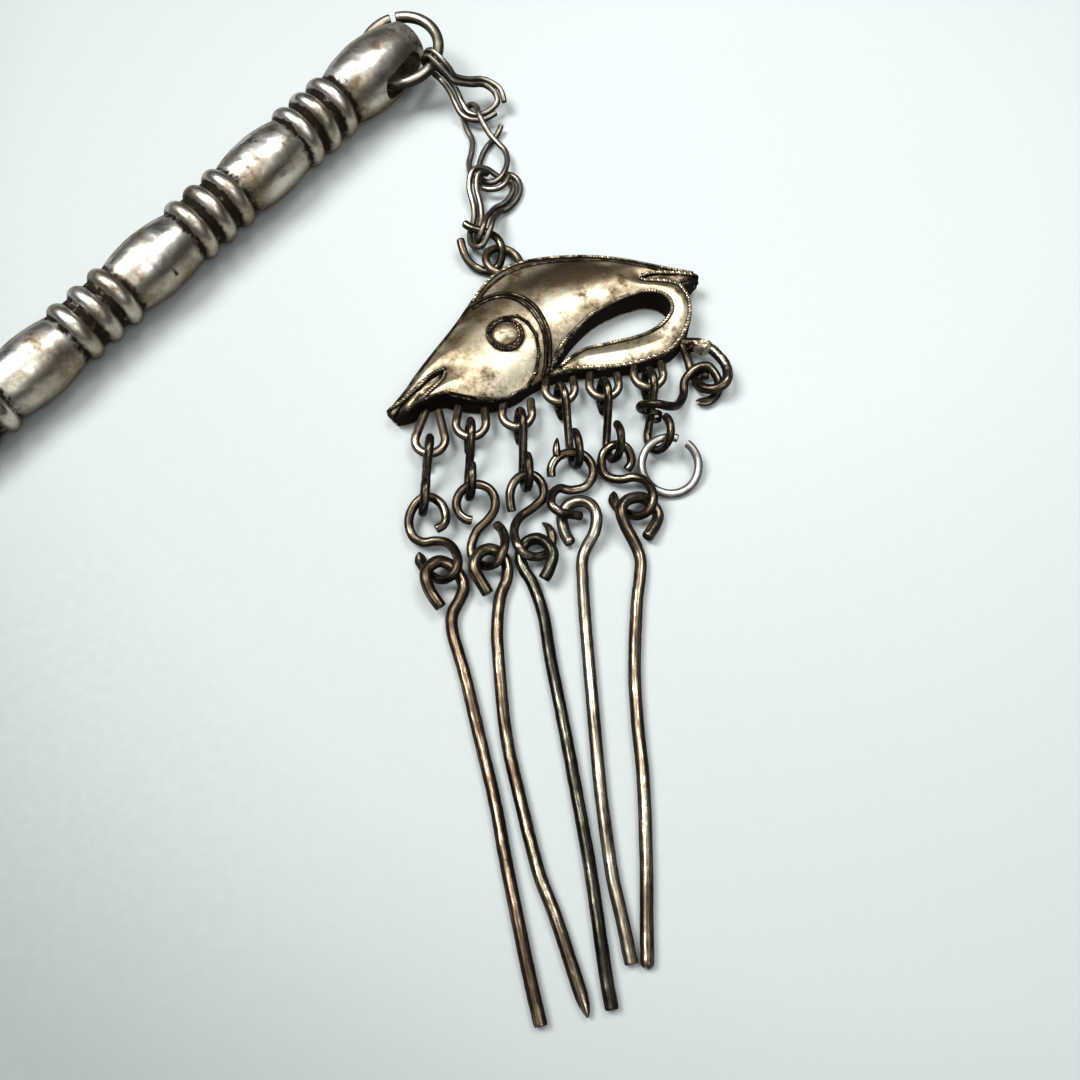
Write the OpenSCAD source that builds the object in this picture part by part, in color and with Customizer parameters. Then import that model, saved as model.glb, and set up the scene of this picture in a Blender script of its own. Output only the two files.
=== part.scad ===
// Hair stick with a ring at its head, a short chain, a fish-shaped pendant and
// five wire drops that hang from chains of figure-eight links. Millimetres.
// The object lies on a table as the floor Z = 0: X right, Y away, Z up.
// The origin is on the floor under the middle of the whole object.

/* [Stick] */
// Whole length of the stick
stick_length = 160; // [150:1:170]
// Largest radius of the head barrel
head_r = 4.8; // [4.6:0.05:4.9]
// Radius of the first group of rings; later groups are smaller
ring_r = 4.45; // [4.2:0.05:4.5]
// Largest radius of the barrels between the groups
barrel_r = 4.45; // [4.2:0.05:4.5]
// Radius of the plain shank
shank_r = 3.3; // [3:0.1:3.5]
// Height of the slot through the head
slot_height = 3.6; // [3.4:0.1:4]

/* [Head ring] */
// Radius of the head ring's wire
end_wire_r = 0.8; // [0.6:0.05:0.8]
// Radius of the head ring, measured to the middle of its wire
end_ring_r = 5.55; // [5.5:0.01:5.6]

/* [Chain] */
// Radius of the wire of the three doubled links
fine_wire_r = 0.42; // [0.35:0.01:0.42]
// Radius of the wire of the figure-eight links and the hooks
link_wire_r = 0.58; // [0.5:0.02:0.6]
// Radius of the split ring's wire
split_wire_r = 0.52; // [0.4:0.02:0.54]
// Radius of the split ring, measured to the middle of its wire
split_ring_r = 3.5; // [3.4:0.05:3.6]

/* [Pendant] */
// Height of the pendant's edge
rim_height = 2.7; // [2.4:0.1:3]
// Height of the pendant's rounded body
dome_height = 4.2; // [3.8:0.1:4.4]
// Radius of the wire of the soldered loops
loop_wire_r = 0.6; // [0.5:0.02:0.62]

/* [Drops] */
// Radius of the drops' wire
drop_wire_r = 0.75; // [0.6:0.05:0.75]

/* [Hidden] */
$fn = 48;
// Where the middle of the whole object lies on the table
table_centre = [-47.58, 13.43];
// Room kept between a resting wire and the table
rest_gap = 0.02;
UP = [0, 0, 1];

// A vector at length 1
function unit(v) = v / norm(v);
// A point of a smooth curve between b and c; a and d are the neighbours
function curve_point(a, b, c, d, s) =
  0.5 * (2 * b + (c - a) * s + (2 * a - 5 * b + 4 * c - d) * s * s
    + (3 * b - a - 3 * c + d) * s * s * s);
// A smooth open curve through the points
function smooth(p, steps) = let(n = len(p) - 1) [
  for (i = [0:n - 1]) for (k = [0:steps - 1])
    curve_point(p[max(i - 1, 0)], p[i], p[i + 1], p[min(i + 2, n)], k / steps),
  p[n]];
// A smooth closed curve through the points, position q counts the points
function ring_point(p, q) = let(n = len(p), i = floor(q)) curve_point(
  p[(i + n - 1) % n], p[i % n], p[(i + 1) % n], p[(i + 2) % n], q - i);
function smooth_ring(p, steps) =
  [for (i = [0:len(p) * steps - 1]) ring_point(p, i / steps)];
// A wire wound nearly twice round the same closed curve, its turns side by side
function double_turn(p, gap, turns, steps) = let(n = len(p)) [
  for (i = [0:round(turns * n * steps)])
    let(q = i / steps, run = ring_point(p, q + 0.02) - ring_point(p, q))
      ring_point(p, q) + unit(cross(run, UP)) * gap * (q / n - turns / 2)];
// A wire wound twice round closed points, its turns side by side; between the points
// of the bend they lie apart along side, so that they pass round a ring together
function two_turns(p, bend, side, gap) = let(n = len(p)) [
  for (turn = [-1, 1]) for (i = [0:n - 1])
    let(across = unit(cross(p[(i + 1) % n] - p[(i + n - 1) % n], UP)))
      p[i] + turn * gap / 2 * (i < bend[0] ? across : i > bend[1] ? -across : side)];
// Height at which the middle of a tilted wire loop rests
function rest(r, tilt) = r * sin(tilt) + link_wire_r + rest_gap;
// A figure-eight link: a turn round c1, a straight run, a turn round c2
function figure_eight(c1, c2, r1, r2, tilt1, tilt2, turn1, turn2, hand) =
  let(steps = 12, u = unit(c2 - c1), side = unit(cross(UP, u)), lift = cross(u, side),
    w1 = hand * (cos(tilt1) * side + sin(tilt1) * lift),
    w2 = hand * (cos(tilt2) * side + sin(tilt2) * lift),
    d = norm(c2 - c1), g = r1 + r2 < d ? acos((r1 + r2) / d) : 0)
  concat(
    [for (i = [0:steps]) let(a = g + turn1 * (1 - i / steps))
      c1 + r1 * (cos(a) * u + sin(a) * w1)],
    [for (i = [0:steps]) let(a = 180 + g + turn2 * i / steps)
      c2 + r2 * (cos(a) * u + sin(a) * w2)]);
// The run of a path at point i and a side vector carried along the path
function run_at(p, i) = unit(p[min(i + 1, len(p) - 1)] - p[max(i - 1, 0)]);
function squared(v, t) = unit(v - (v * t) * t);
function sides_along(p) = [
  for (i = 0, v = squared([0.3, 0.2, 1], run_at(p, 0)); i < len(p);
    i = i + 1, v = squared(v, run_at(p, min(i, len(p) - 1)))) v];

// A round wire with its middle on the path
module wire(path, r, sides = 6) {
  n = len(path);
  v = sides_along(path);
  points = [for (i = [0:n - 1]) for (k = [0:sides - 1])
    let(a = 360 * k / sides)
      path[i] + r * (cos(a) * v[i] + sin(a) * cross(run_at(path, i), v[i]))];
  skin = [for (i = [0:n - 2]) for (k = [0:sides - 1])
    let(a = i * sides + k, b = i * sides + (k + 1) % sides)
      each [[a, a + sides, b], [b, a + sides, b + sides]]];
  first_end = [[for (k = [0:sides - 1]) k]];
  last_end = [[for (k = [0:sides - 1]) n * sides - 1 - k]];
  polyhedron(points, concat(skin, first_end, last_end), convexity = 6);
}

// Moves what is placed on the table so that its middle is at the origin
module place() { translate([-table_centre[0], -table_centre[1], 0]) children(); }

// A flat band of even width along open points
module band(points, width) {
  n = len(points);
  left = [for (i = [0:n - 1]) let(t = run_at(points, i)) points[i] + [-t[1], t[0]] * width / 2];
  right = [for (i = [n - 1:-1:0]) let(t = run_at(points, i)) points[i] - [-t[1], t[0]] * width / 2];
  polygon(concat(left, right));
}

// Stick
head_end = [-18.88, 76.15];
stick_turn = 231.2;
stick_slope = 0.52;
group_step = 20.2;
group_first = 19.65;
group_half = 4.4;
neck_reach = group_half + 0.2;
taper = 0.025;
neck_share = 0.82;
bead_pitch = 3.35;
bead_width = 2.2;
head_start = 0.9;
head_neck = 15.55;
head_end_r = 3.35;
lip_r = 3.3;
lip_width = 1.6;
slot_start = 1.7;
slot_length = 8.1;
slot_roll = 6;
shank_start = 83.5;
shank_end = 125.5;
tip_r = 0.9;
head_height = head_r + sin(stick_slope) * (head_start + head_neck) / 2 + rest_gap;
function group_at(i) = group_first + group_step * i;
function share(i) = 1 - taper * i;

// One rounded ring, cut through the stick's middle
module bead_outline(at, r, width) {
  translate([0, at - width / 2]) square([r - width / 2, width]);
  translate([r - width / 2, at]) circle(r = width / 2);
}
// One swelling barrel, cut through the stick's middle
module barrel_outline(from, to, end_r, mid_r) {
  half = (to - from) / 2;
  rise = mid_r - end_r;
  arc_r = (half * half + rise * rise) / (2 * rise);
  intersection() {
    translate([0, from]) square([mid_r + 1, to - from]);
    translate([mid_r - arc_r, from + half]) circle(r = arc_r);
  }
}
module stick_outline() {
  bead_outline(lip_width / 2, lip_r, lip_width);
  barrel_outline(head_start, head_neck, head_end_r, head_r);
  for (i = [0:3]) {
    for (j = [-1:1]) bead_outline(group_at(i) + j * bead_pitch, ring_r * share(i), bead_width);
    translate([0, group_at(i) - neck_reach]) square([ring_r * neck_share * share(i),
      neck_reach + (i < 3 ? neck_reach : bead_pitch)]);
  }
  for (i = [0:2])
    barrel_outline(group_at(i) + group_half, group_at(i + 1) - group_half,
      ring_r * neck_share * share(i + 0.5), barrel_r * share(i + 0.3));
  translate([0, shank_start]) square([shank_r, shank_end - shank_start]);
  polygon([[0, shank_end - 1], [shank_r, shank_end], [tip_r, stick_length - tip_r],
    [0, stick_length - tip_r]]);
  intersection() {
    translate([0, stick_length - tip_r]) circle(r = tip_r);
    translate([0, stick_length - 2 * tip_r]) square(2 * tip_r);
  }
}
// Slot through the head, rounded at both ends
module head_slot() {
  half = slot_height / 2;
  rotate([90, 0, 0]) translate([0, 0, -head_r - 1]) linear_extrude(2 * head_r + 2) {
    translate([-half, slot_start + half]) square([slot_height, slot_length - slot_height]);
    translate([0, slot_start + half]) circle(r = half);
    translate([0, slot_start + slot_length - half]) circle(r = half);
  }
}
module stick() {
  color("#8c8a86") place()
    translate([head_end[0], head_end[1], head_height])
      rotate([0, 0, stick_turn]) rotate([0, 90 + stick_slope, 0]) difference() {
        rotate_extrude() stick_outline();
        rotate([0, 0, slot_roll]) head_slot();
      }
}

// Ring through the head, open by a narrow cut
end_ring_at = [-19.95, 73.68, 5.5];
end_ring_rise = 11;
end_ring_cut = [137, 145];
module end_ring() {
  color("#7d776b") place()
    translate(end_ring_at) rotate([0, 0, stick_turn + 90]) rotate([end_ring_rise, 0, 0])
      rotate([0, 0, end_ring_cut[1]])
        rotate_extrude(angle = 360 - (end_ring_cut[1] - end_ring_cut[0]))
          translate([end_ring_r, 0]) circle(r = end_wire_r);
}

// Three doubled links between the head ring and the pendant
turn_gap = 1;
link_a_curve = [[-6.6, 66, 1.8], [-8, 65.2, 1.6], [-9.5, 65.1, 1.5], [-10.8, 65.8, 1.6],
  [-11.7, 67.4, 2], [-12.5, 68.9, 2.8], [-13.7, 70.1, 3.7], [-14.8, 71.2, 3.9], [-16, 71.92, 4.75],
  [-16.32, 71.72, 6.25], [-15.3, 70.85, 7.5], [-14, 69.6, 7.1], [-13, 69, 6.2],
  [-12, 68.5, 5.2], [-10, 69, 4.2], [-8, 69.8, 3.4], [-6.2, 68.9, 2.8], [-5.6, 67.3, 2.2]];
link_b_path = [[-5.6, 64, 1], [-5.8, 63.3, 0.9], [-6.5, 62, 0.6], [-7.6, 60.5, 0.46],
  [-8.3, 58.6, 0.46], [-8.6, 56.3, 0.46], [-7.9, 54.2, 0.8], [-6.5, 53.4, 1.3],
  [-5.3, 54.2, 1.7], [-4.6, 56.6, 1.6], [-4.9, 58.8, 1.5], [-6, 60.3, 1.6],
  [-7.1, 61.5, 1.9], [-8.1, 63.1, 2.5], [-8.7, 64.7, 2.7], [-9.1, 66.4, 2.2],
  [-9.9, 67.7, 1.3], [-10.7, 67.6, 0.6], [-11, 66.3, 0.46], [-10.6, 64.1, 0.46],
  [-9.7, 61.9, 0.46], [-9.7, 59.8, 0.46], [-10, 57.5, 0.46], [-9.4, 54.6, 0.8],
  [-7.9, 52.5, 1.3], [-6.3, 51.9, 1.7], [-5, 52.6, 1.8], [-4.3, 54.2, 1.8]];
link_c_curve = [[-5.6, 55, 0.5], [-4, 54.3, 0.46], [-3.7, 52.4, 0.46], [-4.7, 50.3, 0.6],
  [-6, 49, 1], [-6.5, 47.4, 1.9], [-6.9, 45.5, 3.1], [-7.2, 43.7, 3.3], [-8.1, 42.3, 2],
  [-9, 43.6, 0.7], [-9.2, 45.4, 0.46], [-8.8, 47.5, 0.6], [-8.9, 49.4, 1],
  [-9.6, 52, 1.9], [-9.2, 54.3, 2.6], [-7.6, 55.4, 1.8]];
link_a_bend = [7, 11];
end_ring_run = [0.41, 0.89, 0.19];
module link_a() {
  color("#83807a") place()
    wire(smooth(two_turns(link_a_curve, link_a_bend, end_ring_run, turn_gap), 2), fine_wire_r);
}
module link_b() { color("#83807a") place() wire(smooth(link_b_path, 3), fine_wire_r); }
module link_c() {
  color("#83807a") place() wire(double_turn(link_c_curve, turn_gap, 1.95, 2), fine_wire_r);
}

// Open hook between the doubled links and the pendant
hook_curve = [[-10.7, 42.9, 2.2], [-10.1, 40.9, 1.6], [-9.2, 39.7, 1.1], [-8, 39.1, 0.7],
  [-6.7, 38.9, 0.65], [-5.6, 39.4, 1], [-5.1, 40.4, 1.9], [-5.1, 41.3, 2.6],
  [-5.7, 42.6, 2.7], [-6.7, 44, 1.9], [-8, 44.8, 1.65], [-9.4, 45.3, 1.7],
  [-10.3, 46, 1.7]];
module hook_link() { color("#6f675c") place() wire(smooth(hook_curve, 3), link_wire_r); }

// Pendant: a fish seen from the side, its back up and its tail at the right
back_edge = [[-19.1, 16.5], [-17.4, 18.5], [-15.6, 21.8], [-11.5, 28.4], [-8.2, 34.4],
  [-6.4, 36.8], [-4.5, 38.5], [-1.9, 39.5], [1.3, 40.1], [4.6, 40.3], [7.8, 40.2],
  [11, 39.5], [14.2, 38.3], [17.4, 37.3], [20.2, 36.6], [20.8, 35.8]];
fin_outer_edge = [[19.5, 34.8], [18.6, 33.9], [19.3, 32.5], [19.5, 30.3], [18.9, 28],
  [17.4, 25.6], [15.5, 24.3], [12, 23.1], [8, 22.5], [4.9, 22.3], [2.8, 21.8], [1.2, 21.4]];
belly_edge = [[0.4, 21], [-1.2, 20], [-3, 18.6], [-5.4, 17.6], [-7.8, 17.2], [-10.3, 17.6],
  [-12.1, 18], [-14.2, 17.3], [-15.8, 16], [-17.7, 15.2]];
fin_opening = [[1.7, 22.6], [3.4, 24], [5, 25.4], [6.6, 26], [9.4, 26.7], [12.2, 27.5],
  [14.4, 28.4], [15.9, 29.5], [16.7, 30.8], [16.3, 32.2], [14.6, 33.1], [12.4, 32.8],
  [9.5, 31.6], [6.6, 29.7], [4.4, 27.3], [2.8, 24.8]];
tail_slot = [[13.1, 35.7], [14.7, 36.2], [17.6, 36.2], [21.2, 36], [18.5, 34.8], [16, 35],
  [13.6, 35.2]];
mouth_slot = [[-11.9, 21.6], [-13.4, 20.8], [-15, 19.2], [-17.2, 17], [-18.4, 15.2],
  [-16.8, 15.7], [-15.2, 17.3], [-13.6, 18.8], [-12.2, 20.4]];
gill_curve = [[-8.2, 32], [-5.4, 32.4], [-3, 31.2], [-0.8, 28.4], [0.5, 25.2], [0.9, 22.7],
  [0.3, 20.9]];
eye_at = [-4.2, 26.2];
eye_r = 1.65;
eye_ring_r = 2.6;
dome_centre = [13.5, 6.5];
dome_run_r = 27.2;
dome_tube_r = 13;
ridge_height = 0.35;
ridge_width = 0.7;
slot_floor = 1.3;

module whole_outline() {
  difference() {
    polygon(concat(smooth(back_edge, 2), smooth(fin_outer_edge, 2), smooth(belly_edge, 2)));
    polygon(smooth_ring(fin_opening, 2));
  }
}
// The same outline without the mouth and the slit of the tail
module fish_outline() {
  difference() {
    whole_outline();
    polygon(tail_slot);
    polygon(mouth_slot);
  }
}
// Upper side of the body: part of a wide round ring that lies mostly below the table
module body_top(raise) {
  translate([dome_centre[0], dome_centre[1], dome_height - dome_tube_r])
    rotate_extrude() translate([dome_run_r, 0]) circle(r = dome_tube_r + raise, $fn = 96);
}
module fish_body() {
  linear_extrude(slot_floor) whole_outline();
  linear_extrude(rim_height) fish_outline();
  intersection() {
    linear_extrude(dome_height + 1) fish_outline();
    body_top(0);
  }
  intersection() {
    linear_extrude(dome_height + 1) band(smooth(gill_curve, 2), ridge_width);
    body_top(ridge_height);
  }
  intersection() {
    translate([eye_at[0], eye_at[1], 0]) cylinder(r = eye_ring_r, h = dome_height + 1);
    body_top(ridge_height);
  }
  translate([eye_at[0], eye_at[1], dome_height - 0.6]) sphere(r = eye_r);
}
// Soldered loops under the fish, each a half ring with two straight legs
loop_r = 1.85;
loop_height = 2.1;
// Each row: x and y of the loop's middle, length and inward lean of its legs
loops = [[-13.5, 12.5, 4.6, 14], [-8.55, 14.8, 3, 5], [-2.85, 16.2, 2.6, 5], [2.5, 19.75, 2.2, 5],
  [8.05, 20.4, 2.2, 4], [13.7, 21.9, 2.4, 4]];
module soldered_loop(row) {
  lean = row[3];
  translate([row[0], row[1], loop_height]) {
    rotate([0, 0, 180 - lean]) rotate_extrude(angle = 180 + 2 * lean)
      translate([loop_r, 0]) circle(r = loop_wire_r, $fn = 24);
    for (hand = [-1, 1]) rotate([0, 0, hand * lean]) translate([hand * loop_r, 0, 0])
      rotate([-90, 0, 0]) cylinder(r = loop_wire_r, h = row[2], $fn = 24);
  }
}
// Ring at the fish's back, both ends in its edge
top_loop_at = [-4.95, 39.85, 1.4];
top_loop_r = 2.35;
top_loop_from = -40;
top_loop_turn = 325;
top_loop_rise = 17;
top_loop_high = 205;
module top_loop() {
  translate(top_loop_at) rotate([0, 0, top_loop_high]) rotate([0, -top_loop_rise, 0])
    rotate([0, 0, top_loop_from - top_loop_high]) rotate_extrude(angle = top_loop_turn)
      translate([top_loop_r, 0]) circle(r = link_wire_r, $fn = 24);
}
// Curled hook at the fish's lower fin
fin_hook = [[17.6, 27, 1.5], [19, 26.8, 1.8], [20.6, 26.4, 2.1], [22.3, 25, 2.3],
  [23.6, 22.8, 2.3], [23.4, 20.7, 2.4], [22, 19.8, 2.1], [20.7, 20.2, 1.5],
  [20, 21.4, 0.9], [20.5, 22.5, 0.75], [21.5, 22.7, 0.74]];
fin_hook_r = 0.7;
module pendant() {
  color("#9a9080") place() {
    fish_body();
    for (row = loops) soldered_loop(row);
    top_loop();
    wire(smooth(fin_hook, 2), fin_hook_r);
  }
}

// Upper links of the six chains, standing nearly on edge
// Each row: x and y of both turns, second radius, second tilt, hand
stand = 80;
upper_r = 1.95;
upper_rows = [[-13.6, 10.35, -13.8, 4.7, 2.1, 80, 1], [-8.6, 12.65, -8.4, 6.7, 2.1, 80, 1],
  [-2.4, 14.05, -1.7, 7.9, 2.1, 80, 1], [2.7, 17.65, 4.2, 11, 2.1, 80, 1],
  [8, 18.35, 9, 12, 2.2, 72, 1], [13.7, 19.85, 14.65, 13.3, 2.15, 56, 1]];
upper_turn = 262;
module upper_link(i) {
  row = upper_rows[i];
  color("#5d564c") place() wire(figure_eight(
    [row[0], row[1], rest(upper_r, stand)], [row[2], row[3], rest(row[4], row[5])],
    upper_r, row[4], stand, row[5], upper_turn, upper_turn, row[6]), link_wire_r);
}
module upper_link_1() { upper_link(0); }
module upper_link_2() { upper_link(1); }
module upper_link_3() { upper_link(2); }
module upper_link_4() { upper_link(3); }
module upper_link_5() { upper_link(4); }
module upper_link_6() { upper_link(5); }

// Lower links of five chains, lying nearly flat, each a figure eight of one wire
lower_paths = [
  [[-12.3, 0.45, 2.2], [-11.4, 1.1, 2.2], [-11.2, 2.2, 2.2], [-11.7, 3.6, 2.3], [-12.8, 4.5, 2.3],
    [-13.8, 4.6, 2.3], [-14.8, 3.9, 2.1], [-15.5, 2.6, 1.8], [-15.6, 1.2, 1.5], [-15, -0.2, 1.3],
    [-13.8, -0.8, 1.2], [-12.4, -0.7, 1.4], [-10.9, -1.2, 1.9], [-9.9, -2.5, 2.4],
    [-9.5, -4.1, 2.8], [-10, -5.4, 2.6], [-11.1, -5.8, 1.9], [-12.2, -5.4, 1.3],
    [-13.4, -4.3, 0.8], [-14.1, -3, 0.65], [-14.4, -1.8, 0.65]],
  [[-8.1, 1.95, 1.4], [-8.9, 2.1, 1.5], [-9.7, 2.8, 1.7], [-10, 3.9, 2], [-9.6, 5.2, 2.2],
    [-8.6, 6.1, 2.3], [-7.4, 6.3, 2.3], [-6.1, 5.8, 2.1], [-5.4, 4.6, 1.8], [-5.5, 3.2, 1.5],
    [-6.3, 2, 1.3], [-7.5, 0.8, 1], [-8.1, -0.8, 0.8], [-8.1, -2.1, 0.65], [-7.5, -3.2, 0.65],
    [-6.2, -3.9, 1.4], [-5, -3.8, 2.4], [-4.3, -2.7, 2.9], [-4.1, -1.2, 2.7], [-4.5, 0.3, 2.3],
    [-5.2, 1.2, 2]],
  [[-3.35, 3.2, 1.2], [-3.55, 4.2, 1.5], [-3.6, 5.4, 1.9], [-3.1, 6.7, 2.2], [-2.1, 7.5, 2.3],
    [-0.7, 7.5, 2.3], [0.3, 6.4, 2], [0.4, 4.9, 1.6], [-0.8, 3.7, 1.3], [-2.1, 2.7, 1.3],
    [-2.9, 1.3, 1.8], [-3, -0.5, 2.5], [-2.5, -2.1, 2.9], [-1.7, -2.8, 2.4], [-0.5, -2.8, 1.5],
    [0.8, -2.1, 0.8], [1.4, -0.9, 0.65], [1.4, 0.3, 0.65], [1, 1.4, 0.65], [0.2, 2, 0.65]],
  [[1.4, 7.8, 1.3], [1.4, 8.9, 1.7], [2.1, 10, 2.1], [3.5, 10.6, 2.3], [5.2, 10.4, 2.2],
    [6.3, 9.2, 1.9], [6.4, 7.7, 1.5], [5.4, 6.4, 1.3], [3.7, 5.9, 1.5], [2.3, 5.9, 2],
    [1.4, 4.7, 2.6], [1.4, 3.2, 3], [2.4, 2.4, 2.8], [3.7, 2.5, 1.9], [4.9, 2.7, 1]],
  [[10.6, 8.8, 1.2], [11.15, 9.6, 1.5], [11, 10.7, 2], [10.3, 11.5, 2.3], [9.1, 11.6, 2.4],
    [7.9, 10.8, 2.4], [7.5, 9.7, 2], [7.7, 8.6, 1.3], [8.4, 7.8, 1.2], [9.8, 7.4, 1.4],
    [11.3, 7.5, 1.8], [12.5, 6.9, 2.3], [13.3, 5.5, 2.8], [13.5, 3.9, 2.9], [12.9, 2.8, 2.3],
    [11.8, 2.5, 1.5], [10.7, 3.1, 0.8], [9.5, 3.8, 0.65], [8.9, 5, 0.65], [9, 6.2, 0.65]]];
module lower_link(i) {
  color("#6a6256") place() wire(smooth(lower_paths[i], 2), link_wire_r);
}
module lower_link_1() { lower_link(0); }
module lower_link_2() { lower_link(1); }
module lower_link_3() { lower_link(2); }
module lower_link_4() { lower_link(3); }
module lower_link_5() { lower_link(4); }

// Link between the fish's curled hook and the sixth chain
joining_curve = [[19.7, 18.8, 0.63], [21.2, 18.8, 0.63], [22.4, 19.8, 0.68], [22.6, 21.4, 1.4],
  [21.4, 22.9, 2.2], [19.8, 22.9, 1.9], [18.4, 21.5, 1.3], [18.1, 19.4, 1.1], [17.2, 17.6, 1.8],
  [15.9, 16.4, 3.5], [14.3, 16.2, 4.4], [12.6, 16.7, 3.3], [12.7, 17.2, 1.4], [14.3, 17.3, 0.68]];
module joining_link() { color("#6f675c") place() wire(smooth(joining_curve, 3), link_wire_r); }

// Ring at the end of the sixth chain, open by a narrow cut
split_ring_at = [15.9, 9.25, 1.55];
split_ring_rise = 16.5;
split_ring_high = 104;
split_ring_cut = [54, 74];
module split_ring() {
  color("#b5b2ab") place()
    translate(split_ring_at) rotate([0, 0, split_ring_high]) rotate([0, -split_ring_rise, 0])
      rotate([0, 0, split_ring_cut[1] - split_ring_high])
        rotate_extrude(angle = 360 - (split_ring_cut[1] - split_ring_cut[0]))
          translate([split_ring_r, 0]) circle(r = split_wire_r);
}

// Drops: an open eye that rises to one side, then a gently bent shank on the table
drop_rest = drop_wire_r + rest_gap;
drop_eyes = [
  [[-11.35, -9.15, 1.75], [-12.5, -7.6, 2.15], [-13.2, -5.9, 2.5], [-13, -4.5, 2.3],
    [-11.8, -3.5, 1.9], [-10.5, -3.8, 1.4], [-9.5, -4.8, 1], [-8.9, -6.3, 0.8]],
  [[-6, -7.45, 1.6], [-6.9, -6, 1.9], [-7.6, -4.7, 2.2], [-7.6, -3.5, 2.2], [-6.9, -2.3, 1.9],
    [-5.7, -1.8, 1.5], [-4.5, -2.4, 1], [-3.9, -3.6, 0.8]],
  [[0.42, -5.7, 1.75], [1.1, -4.5, 2.1], [1.5, -2.8, 2.2], [0.9, -1.4, 2], [-0.2, -0.5, 1.6],
    [-1.4, -0.6, 1.1], [-2.1, -1.4, 0.9], [-2.3, -2.8, 0.8]],
  [[3.6, -0.9, 1.2], [2.95, 0.6, 0.9], [2.65, 2.4, 0.85], [3.1, 3.8, 1], [4.2, 4.4, 1.4],
    [5.4, 4.2, 1.9], [6.4, 3.2, 2.3], [6.7, 1.7, 2.4], [6.4, 0.1, 2], [5.5, -1.4, 1.2]],
  [[12.7, -0.2, 1.3], [13.7, 1.4, 1], [14.2, 2.8, 0.8], [13.7, 4, 1], [12.7, 4.8, 1.4],
    [11.6, 4.8, 1.8], [10.4, 4.2, 2.2], [9.7, 3.2, 2.4], [9.7, 2.1, 2.4], [10.2, 0.9, 1.9],
    [11, -0.4, 1.2]]];
drop_shanks = [
  [[-9.3, -7.7], [-10.1, -9.6], [-10, -12], [-8.5, -16.9], [-6.4, -25], [-4.8, -31.2],
    [-3.4, -38], [-1.2, -47.7], [0.1, -52.9]],
  [[-3.9, -5.3], [-4.6, -7.4], [-4.9, -10.5], [-4.8, -14], [-3.8, -23.4], [-2.1, -30.8],
    [-0.2, -38], [1.7, -42.9], [4.4, -50.8], [4.7, -52.1]],
  [[-1.8, -4.3], [-0.9, -5.8], [0.4, -9.8], [1.2, -15], [2.6, -22.4], [4, -30.3], [5.3, -38],
    [6.6, -47.7], [7.2, -51.4]],
  [[5, -2.9], [5, -5], [5.2, -9.9], [5.6, -16.2], [6.1, -23.6], [6.6, -30.3], [7.5, -38],
    [8.5, -42.9], [9.3, -47.2]],
  [[11.7, -1.9], [11.9, -3.3], [11.7, -5.3], [11.2, -8.9], [10.7, -16.3], [10.8, -22],
    [11.2, -28.4], [11.2, -37], [11, -42.9], [10.9, -47.7]]];
module drop(i) {
  path = concat(drop_eyes[i], [for (p = drop_shanks[i]) [p[0], p[1], drop_rest]]);
  color("#4b453d") place() wire(smooth(path, 2), drop_wire_r, 8);
}
module drop_1() { drop(0); }
module drop_2() { drop(1); }
module drop_3() { drop(2); }
module drop_4() { drop(3); }
module drop_5() { drop(4); }

stick();
end_ring();
link_a();
link_b();
link_c();
hook_link();
pendant();
upper_link_1();
upper_link_2();
upper_link_3();
upper_link_4();
upper_link_5();
upper_link_6();
lower_link_1();
lower_link_2();
lower_link_3();
lower_link_4();
lower_link_5();
joining_link();
split_ring();
drop_1();
drop_2();
drop_3();
drop_4();
drop_5();
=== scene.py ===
"""Looks of a silver hairpin with a fish pendant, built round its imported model."""

import math

import bpy
import numpy as np
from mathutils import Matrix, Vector
from mathutils.geometry import delaunay_2d_cdt


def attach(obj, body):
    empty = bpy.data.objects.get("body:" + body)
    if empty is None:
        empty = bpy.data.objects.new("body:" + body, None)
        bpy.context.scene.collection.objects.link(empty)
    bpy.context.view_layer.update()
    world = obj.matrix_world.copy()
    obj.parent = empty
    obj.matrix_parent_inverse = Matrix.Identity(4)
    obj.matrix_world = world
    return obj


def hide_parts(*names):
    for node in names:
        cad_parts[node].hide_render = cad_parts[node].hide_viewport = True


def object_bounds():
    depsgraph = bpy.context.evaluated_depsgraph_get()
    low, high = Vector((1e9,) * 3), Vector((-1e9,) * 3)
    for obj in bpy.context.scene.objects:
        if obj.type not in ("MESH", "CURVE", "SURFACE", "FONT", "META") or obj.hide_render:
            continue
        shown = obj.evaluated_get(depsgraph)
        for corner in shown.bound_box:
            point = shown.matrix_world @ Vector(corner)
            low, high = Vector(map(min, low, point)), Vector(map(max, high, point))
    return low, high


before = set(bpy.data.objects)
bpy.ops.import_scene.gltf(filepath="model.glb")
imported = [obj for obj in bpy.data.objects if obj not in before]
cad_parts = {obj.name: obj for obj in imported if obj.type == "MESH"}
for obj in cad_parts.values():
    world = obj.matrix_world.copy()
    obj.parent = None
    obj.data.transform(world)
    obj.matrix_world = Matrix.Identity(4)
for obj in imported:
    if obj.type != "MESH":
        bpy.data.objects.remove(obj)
cad_box = [list(corner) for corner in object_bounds()]

# Places below are millimetres on the table: X right, Y away, Z up
MM = 0.001
TABLE_CENTRE = np.array([-47.58, 13.43, 0.0])
REST_GAP = 0.02
UP = np.array([0.0, 0.0, 1.0])
# The side of the wires that is worn and lit bright, their other sides painted darker as shade, and
# the stick's side that catches the light
WORN_AND_LIT_SIDE, LIT_SIDE = np.array([-0.15, -0.3, 0.93]), np.array([-0.28, 0.12, 0.95])
# The direction that the sides of every wire are worked out from
SIDE_START = np.array([0.3, 0.2, 1.0])


# Curves

def unit(vectors):
    """The vectors at a length of 1."""
    return vectors / np.linalg.norm(vectors, axis=-1, keepdims=True)


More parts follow.
